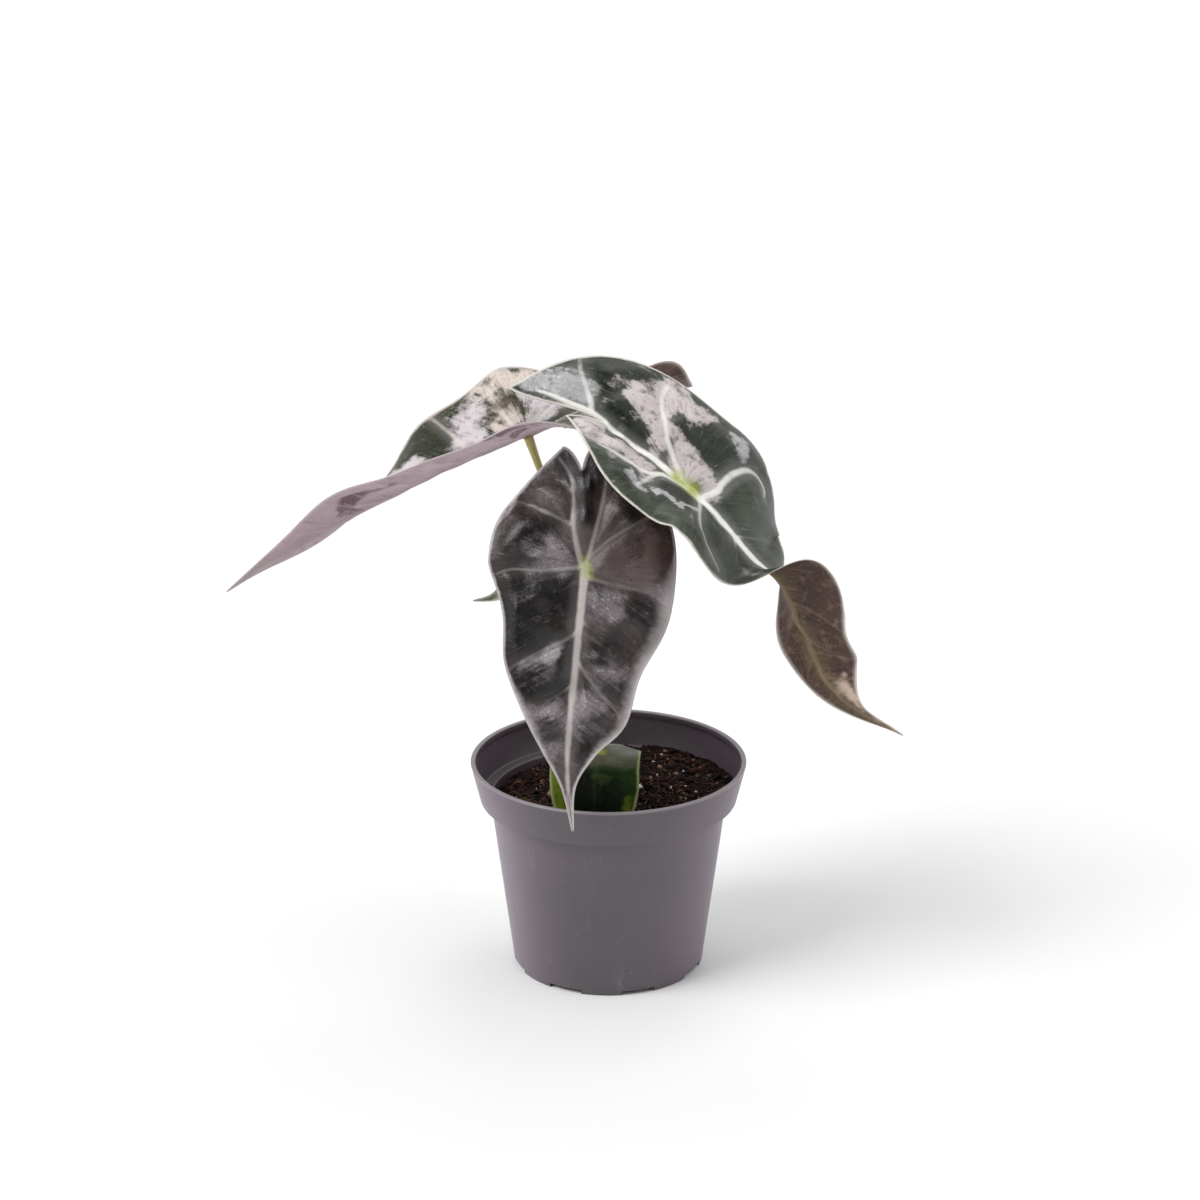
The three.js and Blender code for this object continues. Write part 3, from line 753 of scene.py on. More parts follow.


# veins: half, width at the start and at the end, then points of distance out and distance along
# the patches paint onto the upper face: the dark ones painted shade, the warm and silver ones painted sheen
# and highlights, partly the blade's own silvery tone; bruise and cream are the blade's own colour
leaves = {}
leaves["front"] = plainLeaf | {
    "junction": 2, "lobeTip": (0.2, 0.175), "sinus": 0.8,
    "wave": ((1.5, 42, 0.1), (1.5, 48, 0.4)),
    "puff": 3,
    "stalkFrom": 330,
    "stalkVia": ((-4, 8, 105), (-6, -5, 150), (-9, -24, 183)),
    "ragged": 1.3, "rayed": 1.2, "stain": 0.65, "glints": 0.65, "gloss": 0.36, "crisp": 0.5,
    "heart": (right, [(-0.4, -1), (-0.8, 2)], 0.2),
    "band": ((5.5, -12, 14), (2, 34, 62)),
    "colors": {
        "base": (38, 33, 31), "tint": (62, 53, 50), "dark": (16, 15, 14), "warmSheen": (90, 77, 75),
        "silverSheen": (128, 120, 126), "vein": (203, 195, 190), "margin": (188, 180, 180),
        "under": (96, 72, 76), "underDark": (66, 48, 52), "spine": (96, 74, 78), "cream": (190, 176, 172),
        "underPale": (150, 130, 134),
    },
    "patches": {
        "dark": [
            (right, 6.5, 1, [(19.9, -14.1)]), (right, 5, 0.8, [(24.9, -3)]),
            (right, 9, 1, [(10, 11), (25, 16)]), (right, 4, 0.8, [(5.8, -48)]),
            (right, 7, 1, [(24.2, 25.9), (19.8, 32.4)]), (right, 5, 1.4, [(8, 47), (18, 49)]),
            (right, 4, 0.9, [(4, 71), (8, 69)]), (left, 2.6, 1, [(2.4, -34), (2.4, -20)]),
            (left, 5, 0.9, [(15.3, -18.3)]), (left, 5, 0.9, [(7.6, -41.7)]),
            (left, 5.5, 0.85, [(24.1, 15.5)]), (left, 4, 0.6, [(21.5, -8.9)]),
            (left, 6, 0.85, [(11.8, 30.8)]), (left, 5, 0.85, [(19.3, 48.7)]), (left, 3, 0.5, [(5.4, 50)]),
            (left, 4.5, 0.75, [(10.8, 68.2)]), (left, 3.5, 0.5, [(4.4, 78.6)]),
        ],
        "warmSheen": [
            (right, 7, 0.8, [(14, -29.7)]), (right, 5, 0.5, [(2, -13)]), (left, 9, 1, [(10, -4), (24, -3)]),
            (left, 6, 0.6, [(9.4, -22.8)]), (left, 8, 0.55, [(26, -2)]), (left, 6, 0.6, [(4.5, 24)]),
        ],
        "silverSheen": [
            (right, 6.5, 0.9, [(12.1, -3), (16.8, -3)]), (right, 5, 0.45, [(14, -29.7)]),
            (right, 2.3, 1, [(20, 43), (11, 36)]), (right, 0.7, 2, [(30, -31), (34.5, -21), (37.8, -13.7)]),
            (right, 4, 0.6, [(7, 62), (14, 65)]), (right, 5, 0.55, [(7.4, 77.6)]),
            (left, 6, 0.85, [(10.6, 16.2)]), (left, 6, 0.4, [(31, 9.7)]),
            (left, 4, 0.35, [(12, 39), (17, 42)]), (left, 5.5, 0.9, [(7.9, 55.9)]),
            (left, 4, 0.55, [(3.2, 65.3)]),
        ],
    },
    "ribs": [
        ((-12, -30, 245), (0, -1, 0.5), (-10, -10), (-20, -20), (38, 40)),
        ((-10, -42, 223), (0, -1, 0.4), (-4, -4), (-20, -20), (38, 40)),
        ((-10, -50, 199), (0, -1, 0.3), (4, 4), (-20, -20), (38, 40)),
        ((-12, -57, 178), (0, -1, 0.25), (6, 6), (-20, -20), (36, 32)),
        ((-14, -62, 158), (0, -1, 0.2), (6, 6), (-15, -15), (27, 29)),
        ((-16, -66, 138), (0, -1, 0.2), (8, 8), (-15, -15), (23, 19)),
        ((-17, -67, 124), (0, -1, 0.1), (10, 10), (-10, -10), (12, 10.5)),
        ((-17, -68, 109), (0, -1, 0.1), (10, 10), (-10, -10), (3.5, 3)),
        ((-15, -70, 90), (0, -1, 0), (10, 10), (0, 0), (0.5, 0.5)),
    ],
    "veins": [
        (right, 3.7, 1.4, [(0, 0), (0, 60), (0, 115)]),
        (right, 2.8, 0.9, [(0, 0), (2, -3), (4.8, -17), (4.3, -30), (5, -38), (9, -46)]),
        (right, 1.8, 0.9, [(5.2, -17), (16, -23), (26, -28.5), (31, -30)]),
        (right, 1.2, 0.5, [(4.6, -31), (12, -38), (19, -41)]),
        (right, 2, 0.9, [(0, 0), (17, 2.5), (30, 3), (36, 6)]),
        (right, 1.8, 0.8, [(0.5, 26), (3, 29), (14, 36), (26, 44), (29, 50)]),
        (right, 1.2, 0.5, [(0, 49), (5, 53), (13, 60), (19, 68)]),
        (right, 0.9, 0.4, [(0, 66), (4, 70), (9, 77), (12, 84)]),
        (left, 2.4, 0.8, [(0, 0), (1.6, -4), (3, -10), (5.6, -19), (8.8, -31), (10, -40), (9, -46)]),
        (left, 1.8, 0.8, [(2, -4), (9.4, -10.5), (18.6, -16), (27, -19.5), (34, -19)]),
        (left, 1.1, 0.5, [(7, -25), (15, -32), (22, -36)]),
        (left, 1.8, 0.8, [(0.5, 3), (4, 5), (17, 7), (28, 8.5), (35, 12)]),
        (left, 1, 0.4, [(0.5, 22), (8, 27), (18, 31), (28, 36)]),
        (left, 1.8, 0.7, [(0.5, 38), (2.3, 41), (10, 50), (18.5, 58), (21, 64)]),
        (left, 1, 0.4, [(0, 60), (5, 66), (11, 75), (14, 82)]),
    ],
}
leaves["right"] = plainLeaf | {
    "junction": 2, "lobeTip": (0.16, 0.14), "lobeShare": (1, 0.68), "sinus": 0.5,
    "wave": ((0.8, 50, 0), (1, 50, 0.3)),
    "puff": 2.2, "fold": (26, 76),
    "stalkFrom": 30,
    "stalkVia": ((-1, 14, 120), (7, 1, 168), (17, -17, 204)),
    "ragged": 1.8, "rayed": 1.3, "stain": 0.6, "glints": 0.4, "gloss": 0.34, "crisp": 0.26,
    "heart": (left, [(0.8, -4), (0.2, 5)], 1.8),
    "band": ((1.4, 0, 30), (1.2, 0, 30)),
    "colors": {
        "base": (36, 43, 30), "tint": (63, 70, 57), "dark": (20, 28, 14), "warmSheen": (205, 193, 194),
        "silverSheen": (168, 167, 169), "vein": (255, 252, 246), "margin": (222, 216, 208),
        "under": (70, 54, 50), "underDark": (54, 40, 38), "spine": (98, 88, 62), "cream": (206, 184, 166),
        "underPale": (138, 116, 98),
    },
    "patches": {
        "dark": [
            (left, 3, 0.9, [(6.4, -79), (5, -68)]), (left, 4.5, 0.8, [(25, -60), (29.5, -52)]),
            (left, 6, 1, [(24.5, -48), (13.6, -44)]), (left, 5, 1, [(7.8, -36), (6.4, -28)]),
            (left, 4, 0.9, [(32.3, -42), (32.3, -37)]), (left, 4.5, 1, [(21.6, -17), (19.2, -9.7)]),
            (left, 4, 0.9, [(28.7, -8.8), (31, -4.2)]), (left, 3, 0.7, [(16.3, -2.8)]),
            (left, 5, 0.75, [(26.5, 2.7), (19.2, 8.2)]), (left, 0.9, 1, [(1.7, -44), (1.1, -24)]),
            (right, 4, 0.8, [(21.5, -22.7)]), (right, 3.6, 1.6, [(8.6, 3.5), (13, -4.5)]),
            (right, 3, 0.6, [(2.5, 42)]), (right, 0.7, 1.2, [(5.2, -45.7), (2.2, -14.6)]),
        ],
        "warmSheen": [
            (left, 7, 1, [(21.9, -36.7), (25.2, -32)]), (left, 5, 1, [(15.5, -31), (13.9, -23.4)]),
            (left, 5, 0.9, [(34.4, -28)]), (left, 5, 0.9, [(30.4, -18.8), (30.7, -13.8)]),
            (left, 4, 0.9, [(5.6, -19.3)]), (left, 4, 0.85, [(12.8, -9.2), (10.6, -4.6)]),
            (left, 3.5, 0.9, [(7.6, 1.8), (6, 8.2)]),
            (right, 4.5, 1, [(7, -45), (10.4, -29), (10.5, -15.4)]),
        ],
        "silverSheen": [
            (left, 6.5, 0.9, [(10.5, -75), (12.5, -61.5)]), (left, 5, 0.9, [(10.5, -55)]),
            (right, 2.5, 0.8, [(20, -19), (22, -12)]), (right, 4, 0.4, [(16.5, -28)]),
            (left, 3, 0.7, [(36, 2.7), (30.6, 7.3)]),
            (right, 1.1, 0.9, [(11, 12.5), (18, 5.5), (19.5, -2), (17, -8)]),
        ],
        "cream": [(right, 3, 1, [(4.2, 109), (2.6, 120)]), (right, 2.5, 0.6, [(2.1, 128), (1, 140)])],
    },
    "ribs": [
        ((-43, -18, 260), (0.1, -0.75, 0.65), (-5, 30), (-20, -20), (38, 30)),
        ((-4, -26, 254), (0.2, -0.75, 0.65), (4, 36), (-40, -20), (38, 34)),
        ((30, -38, 230), (0.4, -0.75, 0.55), (14, 36), (-50, -20), (45, 35)),
        ((43, -44, 219), (0.5, -0.7, 0.5), (12, 36), (-50, -10), (42, 36)),
        ((54, -50, 208), (0.6, -0.5, 0.55), (0, 0), (-30, 20), (36, 32)),
        ((60, -53, 202), (0.65, -0.15, 0.65), (10, -25), (0, 20), (30, 24)),
        ((67, -54, 196), (0.5, 0.8, 0.3), (72, 0), (0, 0), (22, 24)),
        ((74, -54, 185), (0.6, 0.75, 0.35), (32, 10), (0, 0), (17, 27)),
        ((82, -54, 168), (0.5, 0.85, 0.2), (3, -8), (0, 0), (15.5, 21)),
        ((90, -54, 151), (0.4, 0.85, 0.2), (9, 10), (0, 0), (12, 15)),
        ((104, -54, 137), (0.3, 0.9, 0.4), (0, -15), (0, 0), (5, 4)),
        ((122, -54, 126), (0.3, 0.9, 0.4), (30, 30), (0, 0), (0.5, 0.5)),
    ],
    "veins": [
        (right, 4, 1.6, [(0, 0), (0, 70), (0, 140)]),
        (left, 4.4, 1.4, [(0, 0), (0, -12), (-1.3, -22.7), (-1.6, -32.8), (0.4, -43), (2.3, -50), (3.6, -58),
                          (6.2, -66.9), (7.5, -71.5)]),
        (left, 2.6, 1.2, [(2.3, -48), (7.1, -50), (13.8, -53.7), (20, -56.9), (26.9, -58.7)]),
        (left, 3, 1.4, [(0.5, -1), (2.6, -3.7), (7.1, -11.5), (13.3, -19.8), (24.9, -28.9), (34.4, -31.2)]),
        (left, 3.2, 1.4, [(0.5, 9), (7.8, 11.4), (12.3, 10.5), (19, 10.5), (27, 11.8), (31.5, 14.6),
                          (32.9, 19.2), (29.9, 23.3)]),
        (left, 1.3, 0.5, [(0.5, 30), (9, 35), (19, 39), (27, 45)]),
        (left, 1.2, 0.5, [(0.5, 72), (6, 78), (12, 85)]),
        (left, 1, 0.4, [(0.5, 92), (6, 98), (10, 104)]),
        (right, 3.2, 1.2, [(0, 0), (6.1, -8.5), (11.2, -13.4), (14.2, -21.5), (15.9, -31.2), (16.7, -37.6)]),
        (right, 2.8, 1.6, [(5, -8), (9.6, -10.6), (17.4, -11.8), (23.4, -12.6)]),
        (right, 2.4, 1, [(1, 9), (4.2, 11.3), (13, 15.5), (18, 20.2), (21.8, 30.3), (22.7, 38)]),
        (right, 1.2, 0.5, [(0.5, 30), (6, 36), (13, 44)]),
        (right, 1.2, 0.5, [(0.5, 66), (8, 71), (17, 78), (22, 85)]),
        (right, 1.1, 0.5, [(0.5, 84), (7, 90), (14, 98)]),
        (right, 0.9, 0.4, [(0.5, 100), (5, 106), (9, 112)]),
    ],
}
leaves["left"] = plainLeaf | {
    "junction": 2, "lobeTip": (0.3, 0.42),
    "wave": ((0.8, 40, 0.2), (1.5, 55, 0.3)),
    "puff": 1.3,
    "stalkFrom": 150,
    "stalkVia": ((-15, 15, 120), (-18, 10, 170), (-24, 1, 210)),
    "ragged": 1.4, "rayed": 1.1, "stain": 0.4, "crisp": 0.32,
    "heart": (right, [(0, -2), (0, 5)], 1),
    "band": ((1.2, 0, 30), (1.2, 0, 30)),
    "colors": {
        "base": (27, 34, 9), "tint": (46, 54, 25), "dark": (80, 66, 49), "warmSheen": (213, 200, 191),
        "silverSheen": (206, 197, 201), "vein": (226, 220, 212), "margin": (205, 192, 190),
        "under": (172, 152, 160), "underDark": (108, 84, 94), "spine": (160, 146, 146),
        "cream": (206, 196, 196), "underPale": (196, 178, 186),
    },
    "patches": {
        "dark": [
            (right, 2.5, 0.9, [(14, -1.5), (19, 1.5), (26, 4)]),
            (right, 3.2, 1.3, [(19.6, 10.4), (20.5, 1.3)]), (right, 4, 0.9, [(37.4, -16)]),
            (right, 1.5, 1, [(5.7, -16.7)]), (right, 1.6, 0.8, [(12, 9), (18, 14)]),
        ],
        "warmSheen": [
            (right, 9, 1, [(30, 10), (31.3, -8)]), (right, 6, 1, [(13.4, -0.6), (13, 9)]),
            (left, 8, 0.8, [(14, 4), (20, -6)]), (left, 7, 0.7, [(14, 33)]),
        ],
        "silverSheen": [
            (right, 6, 1.6, [(12, -8), (17, -8)]), (right, 6, 1.2, [(27, 16), (12, 23)]),
            (right, 4, 0.8, [(38.6, -7.9)]), (right, 4, 0.7, [(10, 48), (14, 64)]),
            (left, 7, 0.8, [(12, 52), (10, 70)]),
        ],
        "bruise": [
            (left, 3, 1, [(30.5, 14), (31.5, -4)]), (left, 4, 1, [(12.9, 75), (5.8, 84)]),
            (left, 3, 0.9, [(2.9, 79.6)]), (left, 3, 1, [(14.9, 7.5), (22, 4)]),
            (left, 3, 0.6, [(20, 60), (12, 74)]), (right, 5, 0.7, [(20, 30)]),
        ],
    },
    "ribs": [
        ((2, 6, 247), (0.1, 0, 1), (-5, 5), (0, 0), (34, 36)),
        ((-17, 0, 247), (0, 0, 1), (8, 20), (0, 0), (36, 38)),
        ((-34, -5, 242), (-0.2, 0, 1), (17, 30), (10, 0), (36, 40)),
        ((-54, -8, 234.5), (-0.3, 0, 1), (19, 28), (10, 0), (34, 38)),
        ((-71, -10, 227), (-0.3, 0, 1), (19, 26), (15, 0), (31, 33)),
        ((-87, -12, 219.5), (-0.3, 0.1, 1), (20, 15), (15, 0), (28, 25)),
        ((-108, -14, 209), (-0.3, 0.4, 0.9), (16, 10), (15, 0), (22, 17)),
        ((-129, -15, 196), (-0.3, 0.7, 0.7), (10, 10), (10, 0), (11, 8)),
        ((-146, -15, 186), (-0.3, 0.8, 0.6), (10, 10), (0, 0), (4, 3)),
        ((-161, -15, 175.5), (-0.3, 0.8, 0.6), (20, 20), (0, 0), (0.5, 0.5)),
    ],
    "veins": [
        (right, 3.2, 1, [(0, 0), (0, 70), (0, 140)]),
        (right, 2.6, 0.8, [(0, 0), (6, -8), (12, -20), (15, -32)]),
        (right, 1.5, 0.7, [(7, -10), (17, -13), (28, -15)]),
        (right, 2, 0.9, [(0.5, 2), (12, 5), (26, 8), (36, 11)]),
        (right, 2.4, 1.2, [(0.5, 23), (10, 27), (18.5, 30), (30.5, 34.5), (36, 37)]),
        (right, 1.7, 0.7, [(0.5, 45), (8, 51), (18, 57), (28, 64)]),
        (right, 1.4, 0.6, [(0.5, 68), (7, 75), (14, 82), (20, 90)]),
        (right, 1.1, 0.5, [(0.5, 92), (5, 99), (9, 106)]),
        (left, 2.6, 0.8, [(0, 0), (5, -8), (9, -20), (11, -33)]),
        (left, 1.5, 0.7, [(6, -10), (15, -14), (26, -16)]),
        (left, 2, 0.9, [(0.5, 2), (12, 6), (24, 9), (33, 13)]),
        (left, 2, 0.9, [(0.5, 24), (10, 30), (21, 35), (31, 41)]),
        (left, 1.7, 0.7, [(0.5, 46), (9, 53), (19, 59), (28, 67)]),
        (left, 1.4, 0.6, [(0.5, 68), (8, 76), (16, 84), (22, 92)]),
        (left, 1.1, 0.5, [(0.5, 92), (6, 100), (11, 108)]),
    ],
}
leaves["back"] = plainLeaf | {
    "wave": ((1.5, 40, 0), (1.5, 40, 0.3)),
    "puff": 0.9,
    "stalkFrom": 90,
    "stalkVia": ((-7, 19, 120), (-2, 22, 190)),
    "ragged": 1.8, "rayed": 1.1, "stain": 0.35, "crisp": 0.2,
    "heart": (right, [(0, -1), (0, 3)], 1.8),
    "band": ((1, 0, 20), (1, 0, 20)),
    "colors": {
        "base": (92, 100, 84), "tint": (130, 136, 122), "dark": (70, 80, 62), "warmSheen": (214, 208, 202),
        "silverSheen": (222, 222, 216), "vein": (224, 220, 212), "margin": (214, 196, 192),
        "under": (60, 30, 20), "underDark": (52, 28, 21), "spine": (92, 60, 46), "cream": (180, 140, 130),
        "underPale": (144, 106, 94),
    },
    "patches": {
        "silverSheen": [(left, 9, 1, [(12, 5), (12, 45)]), (right, 7, 0.8, [(10, 10), (9, 34)])],
        "warmSheen": [(left, 5, 0.7, [(5, 55)])],
        "dark": [(right, 6, 0.8, [(15, 20)])],
    },
    "ribs": [
        ((-12, 14, 238), (-0.2, 0, 1), (5, 5), (0, 0), (20, 20)),
        ((-2, 28, 242), (-0.1, 0.1, 1), (22, 35), (0, 0), (21, 20)),
        ((9, 44, 245), (0.1, 0.2, 1), (36, 55), (0, 0), (21, 19)),
        ((19, 59, 244), (0.2, 0.2, 1), (34, 46), (0, 0), (18, 17)),
        ((28, 72, 241), (0.2, 0.2, 1), (20, 28), (0, 0), (11, 10)),
        ((34, 81, 238), (0.2, 0.2, 1), (10, 20), (0, 0), (5, 4)),
        ((37, 90, 236), (0.2, 0.2, 1), (10, 20), (0, 0), (0.5, 0.5)),
    ],
    "veins": [
        (right, 2, 0.7, [(0, 0), (0, 40), (0, 72)]),
        (right, 1, 0.4, [(0.3, 32), (6, 38), (13, 46)]),
        *bothHalves(
            (1.6, 0.6, [(0, 0), (4, -6), (8, -15)]),
            (1.3, 0.5, [(0.3, 1), (8, 4), (18, 9)]),
            (1.2, 0.5, [(0.3, 16), (8, 21), (17, 28)])),
        (left, 1, 0.4, [(0.3, 32), (6, 38), (12, 45)]),
    ],
}
leaves["side"] = plainLeaf | {
    "sinus": 0.3,
    "wave": ((0.8, 30, 0), (0.8, 30, 0.3)),
    "puff": 0.5,
    "stalkFrom": 210,
    "stalkVia": ((-14, 9, 115), (-19, 4, 152)),
    "ragged": 1.5, "rayed": 0.8, "crisp": 0.3,
    "heart": (right, [(0, -1), (0, 2)], 1.2),
    "band": ((0.8, 0, 20), (0.8, 0, 20)),
    "colors": {
        "base": (96, 106, 88), "tint": (116, 124, 106), "dark": (70, 80, 60), "warmSheen": (150, 152, 138),
        "silverSheen": (150, 155, 142), "vein": (176, 178, 158), "margin": (188, 190, 172),
        "under": (116, 108, 98), "underDark": (90, 82, 74), "spine": (122, 118, 100),
        "cream": (170, 168, 150), "underPale": (150, 146, 132),
    },
    "patches": {
        "silverSheen": [(left, 4, 0.8, [(4, 14), (3, 26)]), (right, 4, 0.7, [(5, 6)])],
    },
    "ribs": [
        ((-14, -2, 190), (0, -0.6, 0.8), (-10, -10), (0, 0), (10, 10)),
        ((-24, -10, 187), (0, -0.6, 0.8), (0, 0), (0, 0), (10, 10)),
        ((-33, -14, 182), (-0.3, -0.6, 0.8), (0, 0), (0, 0), (8, 8)),
        ((-42, -18, 177), (-0.3, -0.6, 0.8), (10, 10), (0, 0), (4, 5)),
        ((-49, -20, 174), (-0.3, -0.6, 0.8), (20, 20), (0, 0), (1.5, 2.5)),
        ((-57, -22, 174), (-0.3, -0.6, 0.8), (30, 30), (0, 0), (0.5, 0.5)),
    ],
    "veins": [
        (right, 1.2, 0.5, [(0, 0), (0, 18), (0, 34)]),
        *bothHalves(
            (0.9, 0.4, [(0, 0), (2.5, -4), (4, -9)]),
            (0.8, 0.4, [(0.2, 1), (4, 3), (8, 6)]),
            (0.7, 0.3, [(0.2, 9), (3.5, 12), (6, 16)])),
    ],
}
leaves["low"] = plainLeaf | {
    "lobeTip": (0.45, 0.45), "sinus": 0.3,
    "wave": ((0.6, 30, 0), (0.6, 30, 0.3)),
    "puff": 0.6,
    "stalkFrom": 270,
    "stalkVia": ((-7, 2, 87),),
    "ragged": 1, "rayed": 0.6, "gloss": 0.15, "crisp": 0.35,
    "heart": (right, [(0, -1), (0, 2)], 1.4),
    "band": ((0.7, 0, 20), (0.7, 0, 20)),
    "colors": {
        "base": (18, 33, 8), "tint": (30, 50, 12), "dark": (7, 14, 2), "warmSheen": (90, 102, 28),
        "silverSheen": (64, 66, 50), "vein": (60, 86, 36), "margin": (120, 128, 84), "under": (44, 60, 22),
        "underDark": (40, 54, 26), "spine": (70, 88, 44), "cream": (120, 134, 80),
        "underPale": (86, 102, 58),
    },
    "patches": {
        "silverSheen": [
            (left, 7, 0.9, [(2, 4), (12, 8)]), (right, 7, 0.9, [(2, 8), (12, 12)]),
            (left, 1.6, 1, [(2, 24), (5, 24.5)]),
        ],
        "warmSheen": [(right, 3.5, 0.9, [(18, 24), (16, 38)]), (left, 2, 0.6, [(14, 36)])],
        "dark": [(left, 7, 0.9, [(3, 29), (8, 40)]), (right, 6, 0.9, [(6, 27), (6, 40)])],
    },
    "ribs": [
        ((-4, 4, 100), (0, 0.4, 1), (-10, -10), (0, 0), (18, 18)),
        ((-5, -12, 102), (0, 0, 1), (0, 0), (0, 0), (19, 19)),
        ((-6, -30, 102), (0, -0.2, 1), (0, 0), (0, 0), (19, 19)),
        ((-6, -39, 93), (0, -0.9, 0.3), (0, 0), (0, 0), (18.5, 18.5)),
        ((-6, -43, 80.5), (0, -1, 0.1), (10, 10), (0, 0), (15, 15)),
    ],
    "veins": [
        (right, 1.5, 1, [(0, 0), (0, 22), (0, 44)]),
        *bothHalves((1, 0.5, [(0.2, 4), (8, 9), (17, 16)]), (1, 0.5, [(0.2, 20), (8, 26), (16, 34)])),
    ],
}


class Blade:
    # the middle surface, in millimetres, reached by half, distance out and distance along
    def __init__(self, leaf):
        self.leaf = leaf
        self.at, up, lift, curl, half = (np.array(column, float) for column in zip(*leaf["ribs"]))
        self.up = up / np.linalg.norm(up, axis=1)[:, None]
        self.lift, self.curl, self.half = lift.T, curl.T, half.T
        last = len(self.at) - 1
        count = bladeForm["samples"] * len(self.at)
        self.places = np.linspace(0, last, count + 1)
        steps = np.linalg.norm(np.diff(blend(self.at, self.places), axis=0), axis=1)
        self.lengths = np.concatenate([[0], np.cumsum(steps)])
        self.lengths -= self.lengths[round(leaf["junction"] * count / last)]
        self.back, self.front = -self.lengths[0], self.lengths[-1]

    def frame(self, place):
        last = len(self.at) - 1
        ahead = blend(self.at, np.minimum(place + 1e-3, last))
        tangent = ahead - blend(self.at, np.maximum(place - 1e-3, 0))
        tangent /= np.linalg.norm(tangent, axis=-1)[..., None]
        up = blend(self.up, place)
        up = up - tangent * np.sum(up * tangent, axis=-1)[..., None]
        return tangent, up / np.linalg.norm(up, axis=-1)[..., None]

    def point(self, half, out, along):
        place = np.interp(along, self.lengths, self.places)
        tangent, up = self.frame(place)
        outward = np.cross(up, tangent) * -signOf(half)
        widest = self.half[half].max()
        lift = np.radians(blend(self.lift[half], place))
        curl = np.radians(blend(self.curl[half], place))
        bend = np.where(np.abs(curl) < 1e-6, 1e-6, curl) / widest
        reach = (np.sin(lift + bend * out) - np.sin(lift)) / bend
        rise = (np.cos(lift) - np.cos(lift + bend * out)) / bend
        height, length, phase = self.leaf["wave"][half]
        wave = height * np.sin(2 * np.pi * (along / length + phase)) * np.clip(out / widest, 0, 1) ** 2
        return blend(self.at, place) + outward * reach[..., None] + up * (rise + wave)[..., None]

    def edges(self, half, along):
        # inner and outer edge of one half
        form = bladeForm
        place = np.interp(along, self.lengths, self.places)
        front = np.maximum(blend(self.half[half], place), 0)
        tip = self.leaf["lobeTip"][half]
        share = self.leaf["lobeShare"][half]
        back = np.clip(-along / (self.back * share), 0, 1)
        fused = self.leaf["sinus"] / share
        parted = np.clip((back - fused) / (1 - fused), 0, 1)
        wedge = form["sinusWedge"]
        inner = tip * (wedge * parted + (1 - wedge) * (1 - np.sqrt(1 - parted**2)))
        outer = tip + (1 - tip) * (1 - back ** form["lobeFullness"]) ** form["lobePoint"]
        width = self.half[half][self.leaf["junction"]]
        return np.where(along >= 0, 0, inner * width), np.where(along >= 0, front, outer * width)

    def outline(self, half):
        tip = -self.back * self.leaf["lobeShare"][half]
        along = np.linspace(tip, self.front, bladeForm["outlineSteps"])
        inner, outer = self.edges(half, along)
        sign = signOf(half)
        lobe = inner > 0.01
        return [np.stack([sign * outer, along], 1), np.stack([sign * inner[lobe], along[lobe]], 1)]


def distanceTo(points, path):
    # distance from each point to a path, and how far along it the nearest place is
    nearest = np.full(len(points), np.inf)
    share = np.zeros(len(points))
    for number in range(len(path) - 1):
        start, step = path[number], path[number + 1] - path[number]
        t = np.clip((points - start) @ step / max(step @ step, 1e-12), 0, 1)
        away = np.linalg.norm(points - start - t[:, None] * step, axis=1)
        closer = away < nearest
        nearest[closer] = away[closer]
        share[closer] = (number + t[closer]) / (len(path) - 1)
    return nearest, share


def flatBlade(blade):
    # both halves as flat grids, joined along the midrib
    leaf, step, size = blade.leaf, bladeForm["step"], bladeForm["layoutSize"]
    fused = -blade.back * leaf["sinus"]
    lobeRows = math.ceil((blade.back + fused) / step) + bladeForm["lobeRows"]
    frontRows = math.ceil((blade.front - fused) / step)
    columns = math.ceil(blade.half.max() / step)
    bm = bmesh.new()
    for sign in (-0.5, 0.5):
        made = bmesh.ops.create_grid(bm, x_segments=columns, y_segments=lobeRows + frontRows, size=0.5)
        bmesh.ops.translate(bm, verts=made["verts"], vec=(sign, 0.5, 0))
    mesh = bpy.data.meshes.new("flat")
    bm.to_mesh(mesh)
    points = pointsOf(mesh)
    rows = points[:, 1] * (lobeRows + frontRows)
    count = len(points) // 2
    for half, block in ((left, slice(0, count)), (right, slice(count, None))):
        tip = -blade.back * leaf["lobeShare"][half]
        lobe = tip + (fused - tip) * (1 - np.cos(np.pi / 2 * np.clip(rows[block] / lobeRows, 0, 1)))
        front = (blade.front - fused) * np.clip((rows[block] - lobeRows) / frontRows, 0, 1)
        along = lobe + front
        inner, outer = blade.edges(half, along)
        sign = signOf(half)
        points[block, 0] = sign * (inner + (outer - inner) * np.abs(points[block, 0]))
        points[block, 1] = along
    setPoints(mesh, points)
    bm.clear()
    bm.from_mesh(mesh)
    bmesh.ops.remove_doubles(bm, verts=bm.verts, dist=bladeForm["weld"])
    bpy.data.meshes.remove(mesh)
    flat = bm.loops.layers.uv.new("flat")
    rays = bm.loops.layers.uv.new("rays")
    for face in bm.faces:
        turnedOver = face.calc_center_median().x > 0
        for loop in face.loops:
            x, y = loop.vert.co.xy
            loop[flat].uv = (x / size + 0.5, y / size + 0.5)
            loop[rays].uv = rayOf(abs(x), y, turnedOver)
    return bm


def rayOf(out, along, turnedOver):
    # across and along the way the side veins run: round the junction behind it, forward of it slanting
    form = bladeForm
    angle = math.atan2(out, along)
    slant = math.atan2(1, form["veinSlant"])
    if angle > slant:
        across = -(angle - slant) * form["rayRadius"]
        away = math.hypot(out, along)
    else:
        across = along - form["veinSlant"] * out
        away = out * math.hypot(1, form["veinSlant"])
    return across / form["layoutSize"] + form["halvesApart"] * turnedOver, away / form["layoutSize"]


def signOf(half):
    return -1 if half == left else 1


